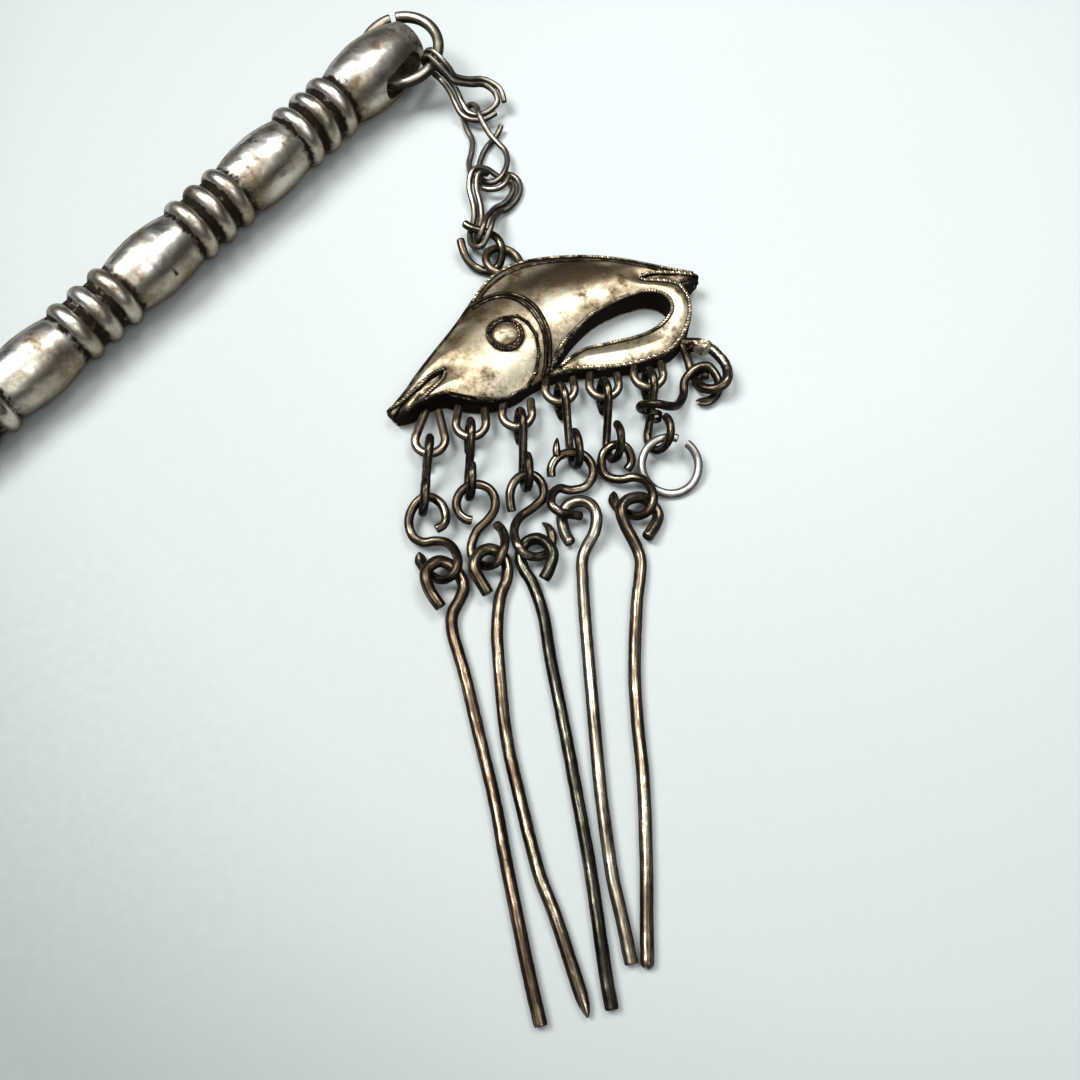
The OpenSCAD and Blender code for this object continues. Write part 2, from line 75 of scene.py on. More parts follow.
def curve_point(a, b, c, d, s):
    """A point of a smooth curve between b and c; a and d are the neighbours."""
    return 0.5 * (2 * b + (c - a) * s + (2 * a - 5 * b + 4 * c - d) * s * s
                  + (3 * b - a - 3 * c + d) * s ** 3)


def smooth(points, steps=8):
    """A smooth open curve through the points."""
    p = np.array(points, float)
    last = len(p) - 1
    curve = [curve_point(p[max(i - 1, 0)], p[i], p[i + 1], p[min(i + 2, last)], k / steps)
             for i in range(last) for k in range(steps)]
    return np.array(curve + [p[last]])


def ring_point(points, q):
    """A point of the smooth closed curve; q counts the points."""
    n = len(points)
    i = math.floor(q)
    return curve_point(points[(i - 1) % n], points[i % n], points[(i + 1) % n],
                       points[(i + 2) % n], q - i)


def smooth_ring(points, steps):
    """A smooth closed curve through the points."""
    p = np.array(points, float)
    return np.array([ring_point(p, i / steps) for i in range(len(p) * steps)])


def double_turn(points, gap, turns, steps):
    """A wire wound nearly twice round a closed curve, its turns side by side."""
    p = np.array(points, float)
    n, ahead = len(p), 0.02
    path = []
    for i in range(round(turns * n * steps) + 1):
        q = i / steps
        run = ring_point(p, q + ahead) - ring_point(p, q)
        path.append(ring_point(p, q) + unit(np.cross(run, UP)) * gap * (q / n - turns / 2))
    return np.array(path)


def two_turns(points, bend, side, gap):
    """A wire wound twice round closed points; in the bend the turns lie apart along side."""
    p = np.array(points, float)
    n = len(p)
    path = []
    for turn in (-1, 1):
        for i in range(n):
            across = unit(np.cross(p[(i + 1) % n] - p[i - 1], UP))
            away = across if i < bend[0] else -across if i > bend[1] else np.array(side)
            path.append(p[i] + turn * gap / 2 * away)
    return np.array(path)


def turned(points, *turns):
    """Points turned about the named axes, one turn after the other, in degrees."""
    p = np.array(points, float)
    for axis, degrees in turns:
        c, s = math.cos(math.radians(degrees)), math.sin(math.radians(degrees))
        i, j = {"x": (1, 2), "y": (2, 0), "z": (0, 1)}[axis]
        p[..., i], p[..., j] = c * p[..., i] - s * p[..., j], s * p[..., i] + c * p[..., j]
    return p


def arc(radius, start, turn, steps=96):
    """Points of an arc in the plane Z = 0, in degrees."""
    a = np.radians(start + turn * np.linspace(0, 1, steps + 1))
    return np.stack([radius * np.cos(a), radius * np.sin(a), 0 * a], axis=1)


def travelled(path):
    """How far along the path each of its points lies."""
    return np.concatenate([[0], np.cumsum(np.linalg.norm(np.diff(path, axis=0), axis=1))])


def resample(path, step, ends=()):
    """The path with points at even steps, and more at the given distances from both ends."""
    far = travelled(path)
    total, fewest = far[-1], 8
    at = np.linspace(0, total, max(int(total / step), fewest) + 1)
    close = np.array(ends)
    at = np.unique(np.round(np.concatenate([at, close, total - close]), 4))
    at = at[(at >= 0) & (at <= total)]
    return np.stack([np.interp(at, far, path[:, k]) for k in range(3)], axis=1), at


def carried_sides(path):
    """Two vectors across each point of the path that don't twist round it."""
    run = unit(np.gradient(path, axis=0))
    side = np.zeros_like(run)
    v = SIDE_START
    for i, t in enumerate(run):
        v = unit(v - (v @ t) * t)
        side[i] = v
    return side, np.cross(run, side)


def angles(count, start=0.0):
    """Even angles round a full turn."""
    return start + 2 * math.pi * np.arange(count) / count


def circles(a, side, lift):
    """Circles of points at the angles a, one across each point of a path."""
    return np.cos(a)[:, None] * side[:, None] + np.sin(a)[:, None] * lift[:, None]


def lathed(radius, height, around):
    """Circles of points round Z, one for each radius and height."""
    a, radius = angles(around), radius[:, None]
    level = np.repeat(height[:, None], around, axis=1)
    return np.stack([radius * np.cos(a), radius * np.sin(a), level], axis=2)


def lumps(points, size, seed):
    """Soft random swells of about that size, mostly between -1 and 1."""
    rng = np.random.default_rng(seed)
    total, waves = np.zeros(points.shape[:-1]), 9
    for _ in range(waves):
        direction = unit(rng.normal(size=3))
        rate = 2 * math.pi / size * rng.uniform(0.6, 1.5)
        total += np.sin(points @ direction * rate + rng.uniform(0, 2 * math.pi))
    return total / math.sqrt(waves) / 1.2


# Meshes

def linked(name, data):
    """An object of the scene with this mesh, lamp or lens."""
    obj = bpy.data.objects.new(name, data)
    bpy.context.scene.collection.objects.link(obj)
    return obj


def plain_mesh(name, points, faces):
    """An object of the scene with these points and faces as they are."""
    mesh = bpy.data.meshes.new(name)
    mesh.from_pydata(np.asarray(points, float).tolist(), [], faces)
    mesh.update()
    return linked(name, mesh)


def piece(name, points, faces, material, replaced=(), attributes=None, sharp=42, uv=None):
    """A piece of the object that rides on it, from points on the table in millimetres."""
    placed = (np.asarray(points, float) - TABLE_CENTRE) * MM
    obj = plain_mesh(name, placed, [list(map(int, f)) for f in faces])
    mesh = obj.data
    mesh.polygons.foreach_set("use_smooth", [True] * len(mesh.polygons))
    mesh.set_sharp_from_angle(angle=math.radians(sharp))
    for label, values in (attributes or {}).items():
        layer = mesh.attributes.new(label, "FLOAT", "POINT")
        layer.data.foreach_set("value", np.asarray(values, np.float32).ravel())
    if uv is not None:
        layer = mesh.uv_layers.new(name="wire")
        layer.data.foreach_set("uv", np.asarray(uv, np.float32).ravel())
    mesh.materials.append(material)
    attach(obj, "root")
    if replaced:
        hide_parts(*replaced)


def pendant_piece(name, points, faces, finish, sharp=42, **attributes):
    """A piece of the pendant; the attributes say where it is dirty or worn and where shade and
    highlights are painted.
    """
    piece(name, points, faces, finish, attributes=attributes, sharp=sharp)


def tube_faces(rings, sides, first=0):
    """Faces of a tube of points, ring after ring, with a fan at both ends."""
    faces = []
    for a in range(first, first + (rings - 1) * sides, sides):
        b = a + sides
        faces += [(a + k, a + (k + 1) % sides, b + (k + 1) % sides, b + k) for k in range(sides)]
    start = first + rings * sides
    low = start - sides
    faces += [(start, first + (k + 1) % sides, first + k) for k in range(sides)]
    return faces + [(start + 1, low + k, low + (k + 1) % sides) for k in range(sides)]


# How a wire's end narrows across and in thickness: distances from the tip in radii
END_FORMS = {
    "flat": ([0, 0.12, 0.3], [0.86, 0.96, 1], [0.86, 0.96, 1]),
    "round": ([0, 0.1, 0.35, 0.7, 1.1], [0.3, 0.55, 0.82, 0.96, 1], [0.3, 0.55, 0.82, 0.96, 1]),
    "point": ([0, 0.5, 1.6, 3], [0.16, 0.45, 0.8, 1], [0.16, 0.45, 0.8, 1]),
    "leaf": ([0, 0.7, 1.8, 3, 4.2], [0.25, 0.95, 1.3, 1.15, 1], [0.2, 0.3, 0.42, 0.75, 1]),
}
END_MARKS = np.array([0.1, 0.22, 0.35, 0.55, 0.8, 1.2, 1.8, 2.4, 3.0, 3.6, 4.2])
LONG_SWELL, SHORT_SWELL, FLUTES = 2.2, 0.8, 3


def wire_points(path, radius, sides, first_end="flat", last_end="flat", step=0.2, wear=0.05,
                seed=1, flutes=0.0):
    """Points and faces of one round wire, and the distance of its rings from its start."""
    path, at = resample(path, step, radius * END_MARKS)
    shape = np.ones((2, len(at), 1))
    for form, distance in ((first_end, at), (last_end, at[-1] - at)):
        where, across, thick = END_FORMS[form]
        shape[0, :, 0] *= np.interp(distance / radius, where, thick)
        shape[1, :, 0] *= np.interp(distance / radius, where, across)
    side, lift = carried_sides(path)
    a = angles(sides, math.pi)
    ring = circles(a, side * shape[0], lift * shape[1])
    centre = path[:, None]
    swell = (0.6 * lumps(centre + ring * radius, LONG_SWELL, seed)
             + 0.4 * lumps(centre + ring, SHORT_SWELL, seed + 1))
    worn = wear * np.clip(0.5 + 0.5 * swell, 0, 1) + flutes * (0.5 + 0.5 * np.cos(FLUTES * a))
    points = (centre + ring * radius * (1 - worn)[:, :, None]).reshape(-1, 3)
    return np.concatenate([points, path[:1], path[-1:]]), tube_faces(len(at), sides), at


def wire_uv(faces, sides, at):
    """Coordinates of every face corner: along the wire in centimetres, and round it."""
    last = len(at) * sides
    uv = []
    for face in faces:
        turn = [v % sides for v in face if v < last]
        wraps = max(turn) - min(turn) > sides / 2
        for v in face:
            if v >= last:
                uv.append((at[0 if v == last else -1] / 10, 0.5))
                continue
            k = v % sides
            uv.append((at[v // sides] / 10, (k + (sides if wraps and k == 0 else 0)) / sides))
    return uv


def side_shade_and_grime(points, sides):
    """1 on the side of a wire that faces away from the wear of hands and cloth and from the light:
    painted shade as well as tarnish.
    """
    rings = points[:-2].reshape(-1, sides, 3)
    outward = unit(rings - rings.mean(axis=1, keepdims=True) + 1e-9)
    facing = outward @ unit(WORN_AND_LIT_SIDE)
    dirt = np.clip((0.92 - facing + 0.08 * lumps(rings, 1.7, 7)) / 0.45, 0, 1).ravel()
    ends = [0.6, 0.6]
    return np.concatenate([dirt, ends])


def wire(name, path, radius, material, slot, replaced=(), sides=16, **form):
    """A piece of round wire with its middle on the path."""
    points, faces, at = wire_points(path, radius, sides=sides, **form)
    piece(name, points, faces, material, replaced, {"dirt": side_shade_and_grime(points, sides)},
          uv=wire_uv(faces, sides, at))


def twisted_wire(path, radius, pitch):
    """Points and faces of two fine strands twisted round each other along the path."""
    sides, steps_a_turn, strand = 7, 11, radius * 0.56
    path, at = resample(path, pitch / steps_a_turn)
    side, lift = carried_sides(path)
    points, faces = [], []
    for start in (0, math.pi):
        turn = (2 * math.pi * at / pitch + start)[:, None]
        middle = path + (radius - strand) * (np.cos(turn) * side + np.sin(turn) * lift)
        ring = circles(angles(sides), *carried_sides(middle))
        faces += tube_faces(len(at), sides, sum(len(p) for p in points))
        points += [(middle[:, None] + strand * ring).reshape(-1, 3), middle[:1], middle[-1:]]
    return np.concatenate(points), faces


# Materials

def tone(red, green, blue):
    """A colour given in display steps from 0 to 255, as a linear colour."""
    return tuple((v / 255 / 12.92) if v / 255 <= 0.04045 else ((v / 255 + 0.055) / 1.055) ** 2.4
                 for v in (red, green, blue)) + (1.0,)


# How much of its light a metal surface keeps where it is seen edge-on
EDGE_TINT, WHITE = (0.42, 0.39, 0.35, 1.0), (1, 1, 1, 1)
# Depths of the relief, in metres
SPECK_RELIEF, CLOUD_RELIEF, SCRATCH_RELIEF, WIRE_RELIEF, FLOOR_RELIEF = 2e-5, 12e-5, 3e-5, 6e-5, 5e-5


class Nodes:
    """A node tree that is filled step by step."""

    def __init__(self, tree):
        self.tree = tree

    def add(self, kind, inputs=None, **settings):
        made = self.tree.nodes.new(kind)
        for key, value in settings.items():
            setattr(made, key, value)
        for key, value in (inputs or {}).items():
            self.plug(made.inputs[key], value)
        return made

    def plug(self, socket, value):
        if isinstance(value, bpy.types.NodeSocket):
            self.tree.links.new(value, socket)
        else:
            socket.default_value = value

    def math(self, operation, a, b):
        return self.add("ShaderNodeMath", {0: a, 1: b}, operation=operation).outputs[0]

    def plus(self, a, b, share=1.0):
        """a plus a share of b."""
        return self.math("ADD", a, b if share == 1.0 else self.math("MULTIPLY", b, share))

    def range(self, value, low, high, to_low=0.0, to_high=1.0):
        return self.add("ShaderNodeMapRange", {
            "Value": value, "From Min": low, "From Max": high,
            "To Min": to_low, "To Max": to_high}).outputs[0]

    def uneven(self, value, amount):
        """A texture's usual spread, turned into values from -amount to amount."""
        return self.range(value, 0.3, 0.7, -amount, amount)

    def ramp(self, factor, stops):
        made = self.add("ShaderNodeValToRGB", {"Fac": factor})
        bands = made.color_ramp.elements
        while len(bands) < len(stops):
            bands.new(0.5)
        for band, (at, colour) in zip(bands, stops):
            band.position, band.color = at, colour
        return made.outputs["Color"]


class Paint(Nodes):
    """A material made of nodes."""

    def __init__(self, name):
        self.material = bpy.data.materials.new(name)
        self.material.use_nodes = True
        super().__init__(self.material.node_tree)
        self.shader = self.tree.nodes["Principled BSDF"]
        self.place = self.add("ShaderNodeTexCoord").outputs["Object"]

    def noise(self, scale, detail=3.0, roughness=0.5, stretch=None, place=None):
        where = place or self.place
        if stretch:
            where = self.add("ShaderNodeMapping", {"Vector": where, "Scale": stretch}).outputs[0]
        return self.add("ShaderNodeTexNoise", {
            "Vector": where, "Scale": scale, "Detail": detail, "Roughness": roughness,
        }).outputs["Fac"]

    def mix(self, factor, a, b):
        made = self.add("ShaderNodeMix", data_type="RGBA")
        for socket, value in ((made.inputs[0], factor), (made.inputs[6], a), (made.inputs[7], b)):
            self.plug(socket, value)
        return made.outputs[2]

    def attribute(self, name):
        return self.add("ShaderNodeAttribute", attribute_name=name).outputs["Fac"]

    def bump(self, height, strength, distance, normal=None):
        inputs = {"Height": height, "Strength": strength, "Distance": distance}
        if normal is not None:
            inputs["Normal"] = normal
        return self.add("ShaderNodeBump", inputs).outputs["Normal"]

    def finish(self, colour, roughness, normal, metallic=0.0):
        sockets = self.shader.inputs
        for name, value in (("Base Color", colour), ("Roughness", roughness), ("Normal", normal),
                            ("Metallic", metallic)):
            self.plug(sockets[name], value)
        sockets["Specular IOR Level"].default_value = 0.5 if metallic == 0 else 0.04
        sockets["Specular Tint"].default_value = WHITE if metallic == 0 else EDGE_TINT
        return self.material


def silver(name, colours, patches=260, rough=(0.24, 0.5), worn_and_highlight_light=None, spread=0.13):
    """Tarnished silver: soft clouds, small specks, tarnish and painted shade where the mesh says so,
    and painted highlights where it says so.
    """
    p = Paint(name)
    light, middle, dark, grime_and_shade = (tone(*c) for c in colours)
    clouds = p.noise(patches, 6.0, 0.62)
    mottle = p.noise(patches * 3.2, 5.0, 0.7)
    specks = p.noise(patches * 9, 4.0, 0.6)
    scratches = p.noise(1400, 2.0, 0.6, stretch=(1.0, 0.16, 1.0))
    blend = p.plus(p.math("MULTIPLY", clouds, 0.8), specks, 0.2)
    colour = p.ramp(blend, [(0.5 - spread, dark), (0.5, middle), (0.5 + spread, light)])
    uneven = p.plus(p.uneven(specks, 0.2), p.uneven(mottle, 0.3))
    grime_and_shade_cover = p.range(p.plus(p.attribute("dirt"), uneven), 0.2, 0.85)
    polish = p.range(p.plus(p.attribute("polish"), uneven), 0.25, 1.0)
    shade = p.plus(p.attribute("shade"), p.uneven(specks, 0.1))
    # Painted highlights and rubbed bright spots, where the mesh marks them
    colour = p.mix(p.math("MULTIPLY", polish, 0.85), colour, tone(*worn_and_highlight_light or colours[0]))
    # Painted shade from the mesh's shade values, towards the dark metal
    colour = p.mix(p.range(shade, 0.05, 1.0, 0.0, 0.9), colour, dark)
    # Tarnish and painted shade where the mesh marks them
    colour = p.mix(grime_and_shade_cover, colour, grime_and_shade)
    worn = p.plus(p.range(blend, 0.35, 0.65, rough[1], rough[0]), polish, -0.06)
    normal = p.bump(p.plus(specks, scratches, 0.6), 0.5, SPECK_RELIEF,
                    p.bump(clouds, 0.35, CLOUD_RELIEF))
    return p.finish(colour, p.plus(worn, grime_and_shade_cover, 0.2), normal,
                    p.range(grime_and_shade_cover, 0.3, 1.0, 1.0, 0.25))


def wire_silver(name, colours, rough=(0.22, 0.5), shade=0.96):
    """Drawn silver wire: long scratches and streaks of tarnish along it, and painted shade on its
    sides where the mesh says so.
    """
    p = Paint(name)
    light, middle, dark, grime_and_shade = (tone(*c) for c in colours)
    along = p.add("ShaderNodeUVMap", uv_map="wire").outputs[0]
    streak = p.noise(9.0, 4.0, 0.65, stretch=(0.13, 1.1, 1.0), place=along)
    scratch = p.noise(22.0, 3.0, 0.6, stretch=(0.2, 2.0, 1.0), place=along)
    clouds = p.noise(260, 6.0, 0.65)
    blend = p.plus(p.math("MULTIPLY", clouds, 0.4), streak, 0.6)
    colour = p.ramp(blend, [(0.36, dark), (0.5, middle), (0.64, light)])
    colour = p.mix(p.range(scratch, 0.52, 0.72, 0.0, 0.65), colour, dark)
    dirt = p.plus(p.attribute("dirt"), p.uneven(streak, -0.2))
    grime_and_shade_cover = p.range(dirt, 0.05, 0.62, 0.0, shade)
    # Tarnish and painted shade where the mesh marks them
    colour = p.mix(grime_and_shade_cover, colour, grime_and_shade)
    roughness = p.range(blend, 0.35, 0.65, rough[1], rough[0])
    normal = p.bump(scratch, 0.55, SCRATCH_RELIEF, p.bump(clouds, 0.4, WIRE_RELIEF))
    return p.finish(colour, roughness, normal, p.range(grime_and_shade_cover, 0.3, 0.9, 1.0, 0.2))


# Finishes, each with the colours of its light, middle and dark metal and of its tarnish, which also
# serves as painted shade
NEAR_BLACK = (24, 19, 15)
STICK = silver("stick_finish", [(250, 245, 236), (206, 195, 179), (126, 110, 90), (34, 26, 19)],
               patches=170, rough=(0.24, 0.46), worn_and_highlight_light=(255, 252, 246), spread=0.11)
FISH = silver("fish_finish", [(240, 224, 194), (188, 170, 140), (104, 87, 67), (28, 21, 15)],
              rough=(0.38, 0.56), worn_and_highlight_light=(255, 244, 216), spread=0.095)
TRIM = silver("trim_finish", [(244, 226, 190), (150, 132, 104), (48, 40, 31), NEAR_BLACK],
              patches=900, rough=(0.26, 0.42))
LINE = silver("line_finish", [(140, 122, 98), (52, 43, 34), (20, 16, 13), NEAR_BLACK],
              patches=700, rough=(0.24, 0.4))
LOOP = wire_silver("loop_finish", [(234, 216, 190), (152, 133, 110), (70, 58, 47), NEAR_BLACK],
                   rough=(0.24, 0.44))
FINE = wire_silver("fine_wire_finish",
                   [(232, 222, 206), (154, 142, 126), (66, 58, 49), (32, 27, 22)])
LINK = wire_silver("link_finish", [(232, 216, 190), (90, 77, 62), (29, 24, 19), (18, 14, 12)],
                   rough=(0.16, 0.36))
RING = wire_silver("head_ring_finish",
                   [(228, 221, 208), (174, 163, 146), (84, 74, 61), (34, 29, 24)])
BRIGHT = wire_silver("split_ring_finish",
                     [(246, 243, 238), (196, 190, 181), (118, 111, 102), (52, 47, 42)], shade=0.9)
LINE_WIRE = wire_silver("strap_finish", [(150, 132, 108), (64, 54, 43), (26, 21, 17), NEAR_BLACK])
DROP_COLOURS = [
    [(206, 182, 154), (92, 76, 61), (33, 26, 21), (20, 16, 13)],
    [(222, 205, 176), (97, 83, 66), (33, 28, 22), (20, 16, 13)],
    [(156, 149, 131), (58, 55, 47), (22, 21, 18), (16, 15, 13)],
    [(240, 230, 212), (160, 147, 128), (54, 47, 39), (25, 21, 17)],
    [(230, 213, 187), (115, 100, 82), (38, 31, 25), (20, 16, 13)]]
DROPS = [wire_silver(f"drop_{i + 1}_finish", colours, rough=(0.18, 0.4))
         for i, colours in enumerate(DROP_COLOURS)]


# Stick: places along it are counted from its head end
HEAD_END = np.array([-18.88, 76.15])
STICK_TURN, STICK_SLOPE = 231.2, 0.52
STICK_LENGTH, HEAD_R, RING_R, BARREL_R, SHANK_R = 160, 4.8, 4.45, 4.45, 3.3
GROUPS, GROUP_FIRST, GROUP_STEP, GROUP_HALF = 4, 19.65, 20.2, 4.4
BEAD_PITCH, BEAD_WIDTH, NECK_SHARE, TAPER = 3.35, 2.5, 0.82, 0.025
NECK_REACH = GROUP_HALF + 0.2
HEAD_START, HEAD_NECK, HEAD_END_R, LIP_R, LIP_WIDTH = 0.9, 15.55, 3.35, 3.3, 1.6
SLOT_START, SLOT_LENGTH, SLOT_HEIGHT, SLOT_ROLL = 1.7, 8.1, 3.6, 6
SHANK_START, SHANK_END, TIP_R = 83.5, 125.5, 0.9
TIP_Z = STICK_LENGTH - TIP_R
HEAD_HEIGHT = HEAD_R + math.sin(math.radians(STICK_SLOPE)) * (HEAD_START + HEAD_NECK) / 2 + REST_GAP


def bead(z, at, radius, width):
    """The outline of one rounded ring of the stick."""
    off = np.abs(z - at) / (width / 2)
    return np.where(off < 1, radius - width / 2 + width / 2 * np.sqrt(np.clip(1 - off ** 2, 0, 1)), 0)


def barrel(z, start, stop, end_r, mid_r):
    """The outline of one swelling barrel of the stick."""
    half, rise = (stop - start) / 2, mid_r - end_r
    bow = (half * half + rise * rise) / (2 * rise)
    off = np.clip(np.abs(z - start - half), 0, half)
    inside = (z >= start) & (z <= stop)
    return np.where(inside, mid_r - bow + np.sqrt(bow * bow - off * off), 0)


def narrowed(i):
    """What is left of the stick's thickness at a group of rings, counted from the head."""
    return 1 - TAPER * i


def stick_radius(z):
    """The stick's radius at a distance z from its head end."""
    parts = [bead(z, LIP_WIDTH / 2, LIP_R, LIP_WIDTH),
             barrel(z, HEAD_START, HEAD_NECK, HEAD_END_R, HEAD_R)]
    for i in range(GROUPS):
        at, last = GROUP_FIRST + GROUP_STEP * i, i == GROUPS - 1
        parts += [bead(z, at + j * BEAD_PITCH, RING_R * narrowed(i), BEAD_WIDTH)
                  for j in (-1, 0, 1)]
        near = (z >= at - NECK_REACH) & (z <= at + (BEAD_PITCH if last else NECK_REACH))
        parts.append(np.where(near, RING_R * NECK_SHARE * narrowed(i), 0))
        if not last:
            parts.append(barrel(z, at + GROUP_HALF, at + GROUP_STEP - GROUP_HALF,
                                RING_R * NECK_SHARE * narrowed(i + 0.5),
                                BARREL_R * narrowed(i + 0.3)))
    cone = SHANK_R + (TIP_R - SHANK_R) * (z - SHANK_END) / (TIP_Z - SHANK_END)
    cap = np.sqrt(np.clip(TIP_R ** 2 - (z - TIP_Z) ** 2, 0, None))
    parts += [np.where((z >= SHANK_START) & (z <= SHANK_END), SHANK_R, 0),
              np.where((z > SHANK_END) & (z <= TIP_Z), cone, 0), np.where(z > TIP_Z, cap, 0)]
    return np.max(parts, axis=0)


def stick_dirt(z, depth):
    """Dark tarnish and painted shade in the grooves, at the barrels' ends and inside the slot."""
    reach = 1.5
    crest = np.max([stick_radius(np.clip(z + off, 0, TIP_Z))
                    for off in np.linspace(-reach, reach, 13)], axis=0)
    crest = np.where(z > SHANK_START + 2, 0, crest)
    groove = np.clip((crest - stick_radius(z) - 0.12) / 0.65, 0, 1)
    return np.maximum(groove, np.clip((depth - 0.25) / 0.3, 0, 1))


def on_table(points):
    """Points of the stick's own frame, its length along Z, placed on the table."""
    placed = turned(points, ("y", 90 + STICK_SLOPE), ("z", STICK_TURN))
    return placed + np.array([HEAD_END[0], HEAD_END[1], HEAD_HEIGHT])


def slot_cutter():
    """The slot's outline as a mesh, longer than the stick is thick."""
    half = SLOT_HEIGHT / 2
    low = arc(half, 180, 180, 20)[:, :2] + [0, SLOT_START + half]
    high = arc(half, 0, 180, 20)[:, :2] + [0, SLOT_START + SLOT_LENGTH - half]
    outline = np.concatenate([low, high])
    n = len(outline)
    reach = HEAD_R + 1
    points = np.concatenate([np.stack([outline[:, 0], np.full(n, y), outline[:, 1]], axis=1)
                             for y in (-reach, reach)])
    points = turned(points, ("z", SLOT_ROLL))
    faces = [(k, n + k, n + (k + 1) % n, (k + 1) % n) for k in range(n)]
    faces += [tuple(range(n)), tuple(range(2 * n - 1, n - 1, -1))]
    return points, faces


def turned_points(around):
    """The stick before its slot is cut, with soft edges and shallow hammer marks, ring by ring."""
    fine = np.arange(0.03, SHANK_START + 1, 0.135)
    plain = np.arange(SHANK_START + 1.4, SHANK_END, 1.3)
    cap = STICK_LENGTH - TIP_R * (1 - np.sin(np.linspace(0.2, 1.45, 8)))
    z = np.concatenate([fine, plain, np.linspace(SHANK_END, TIP_Z, 24), cap])
    soft = [stick_radius(np.clip(z + off, 0, None)) for off in (-0.12, -0.04, 0.04, 0.12)]
    radius = np.where(z < SHANK_END, np.mean(soft, axis=0), stick_radius(z))
    spots = lathed(radius, z, around)
    dents = (0.045 * np.clip(lumps(spots, 3.6, 11), 0, 1)
             + 0.012 * np.clip(lumps(spots, 1.3, 12), 0, 1))
    depth = dents * np.clip(radius - 0.5, 0, 1)[:, None] / radius[:, None]
    spots[..., :2] *= 1 - depth[..., None]
    return spots


def slotted_stick():
    """Points and faces of the stick with its slot cut through."""
    around = 116
    rings = turned_points(around)
    points = np.concatenate([rings.reshape(-1, 3), [[0, 0, 0]], [[0, 0, STICK_LENGTH]]])
    lathe = plain_mesh("lathe", points, tube_faces(len(rings), around))
    cutter = plain_mesh("cutter", *slot_cutter())
    cut = lathe.modifiers.new("slot", "BOOLEAN")
    cut.object, cut.operation, cut.solver = cutter, "DIFFERENCE", "EXACT"
    ready = lathe.evaluated_get(bpy.context.evaluated_depsgraph_get())
    mesh = bpy.data.meshes.new_from_object(ready)
    for spare in (lathe, cutter):
        bpy.data.objects.remove(spare)
    return np.array([v.co for v in mesh.vertices]), [tuple(f.vertices) for f in mesh.polygons]


# Dark nicks on the stick's upper side: x, y, size, strength
NICKS = [[-37.5, 53.4, 0.5, 1.0], [-38.3, 49.5, 0.35, 0.9], [-46.7, 34.9, 0.4, 1.0],
         [-61.6, 21.0, 0.8, 0.55], [-33.9, 52.3, 0.9, 0.5], [-21.5, 70.2, 0.8, 0.4]]
NICK_FLOOR, NICK_NARROWING = 5, 1.4


def build_stick():
    points, faces = slotted_stick()
    placed = on_table(points)
    outward = unit(placed - on_table(points * [0, 0, 1]) + [0, 0, 1e-6])
    facing = outward @ unit(LIT_SIDE)
    # Painted shade on the side turned from LIT_SIDE, painted highlight on the side turned to it
    shade = np.clip((0.66 - facing + 0.16 * lumps(points, 5, 15)) / 0.6, 0, 0.7)
    polish = np.clip((facing - 0.55) / 0.4, 0, 1)
    polish = polish * np.clip(0.5 + 0.6 * lumps(points, 4.5, 16), 0, 1)
    depth = stick_radius(points[:, 2]) - np.linalg.norm(points[:, :2], axis=1)
    dirt = stick_dirt(points[:, 2], depth)
    for x, y, length, strength in NICKS:
        off = np.linalg.norm((placed[:, :2] - [x, y]) * [1, NICK_NARROWING], axis=1)
        near = (placed[:, 2] > NICK_FLOOR) * np.exp(-(off / length) ** 2)
        dirt = np.maximum(dirt, strength * near)
    piece("turned_stick", placed, faces, STICK, ["stick"],
          {"dirt": dirt, "polish": polish, "shade": shade}, sharp=50)


# Ring through the head: its middle, rise, radius, gap, wire, and its run inside the first link
END_RING_AT, END_RING_RISE, END_RING_R = np.array([-19.95, 73.68, 5.5]), 11, 5.55
END_RING_CUT, END_RING_WIRE_R = (137, 145), 0.8
END_RING_RUN = [0.41, 0.89, 0.19]


def build_head_ring():
    start, stop = END_RING_CUT
    path = turned(arc(END_RING_R, stop, 360 - stop + start, 140),
                  ("x", END_RING_RISE), ("z", STICK_TURN + 90)) + END_RING_AT
    wire("head_ring_wire", path, END_RING_WIRE_R, RING, "ring_silver", ["end_ring"], sides=20,
         wear=0.04, seed=3)


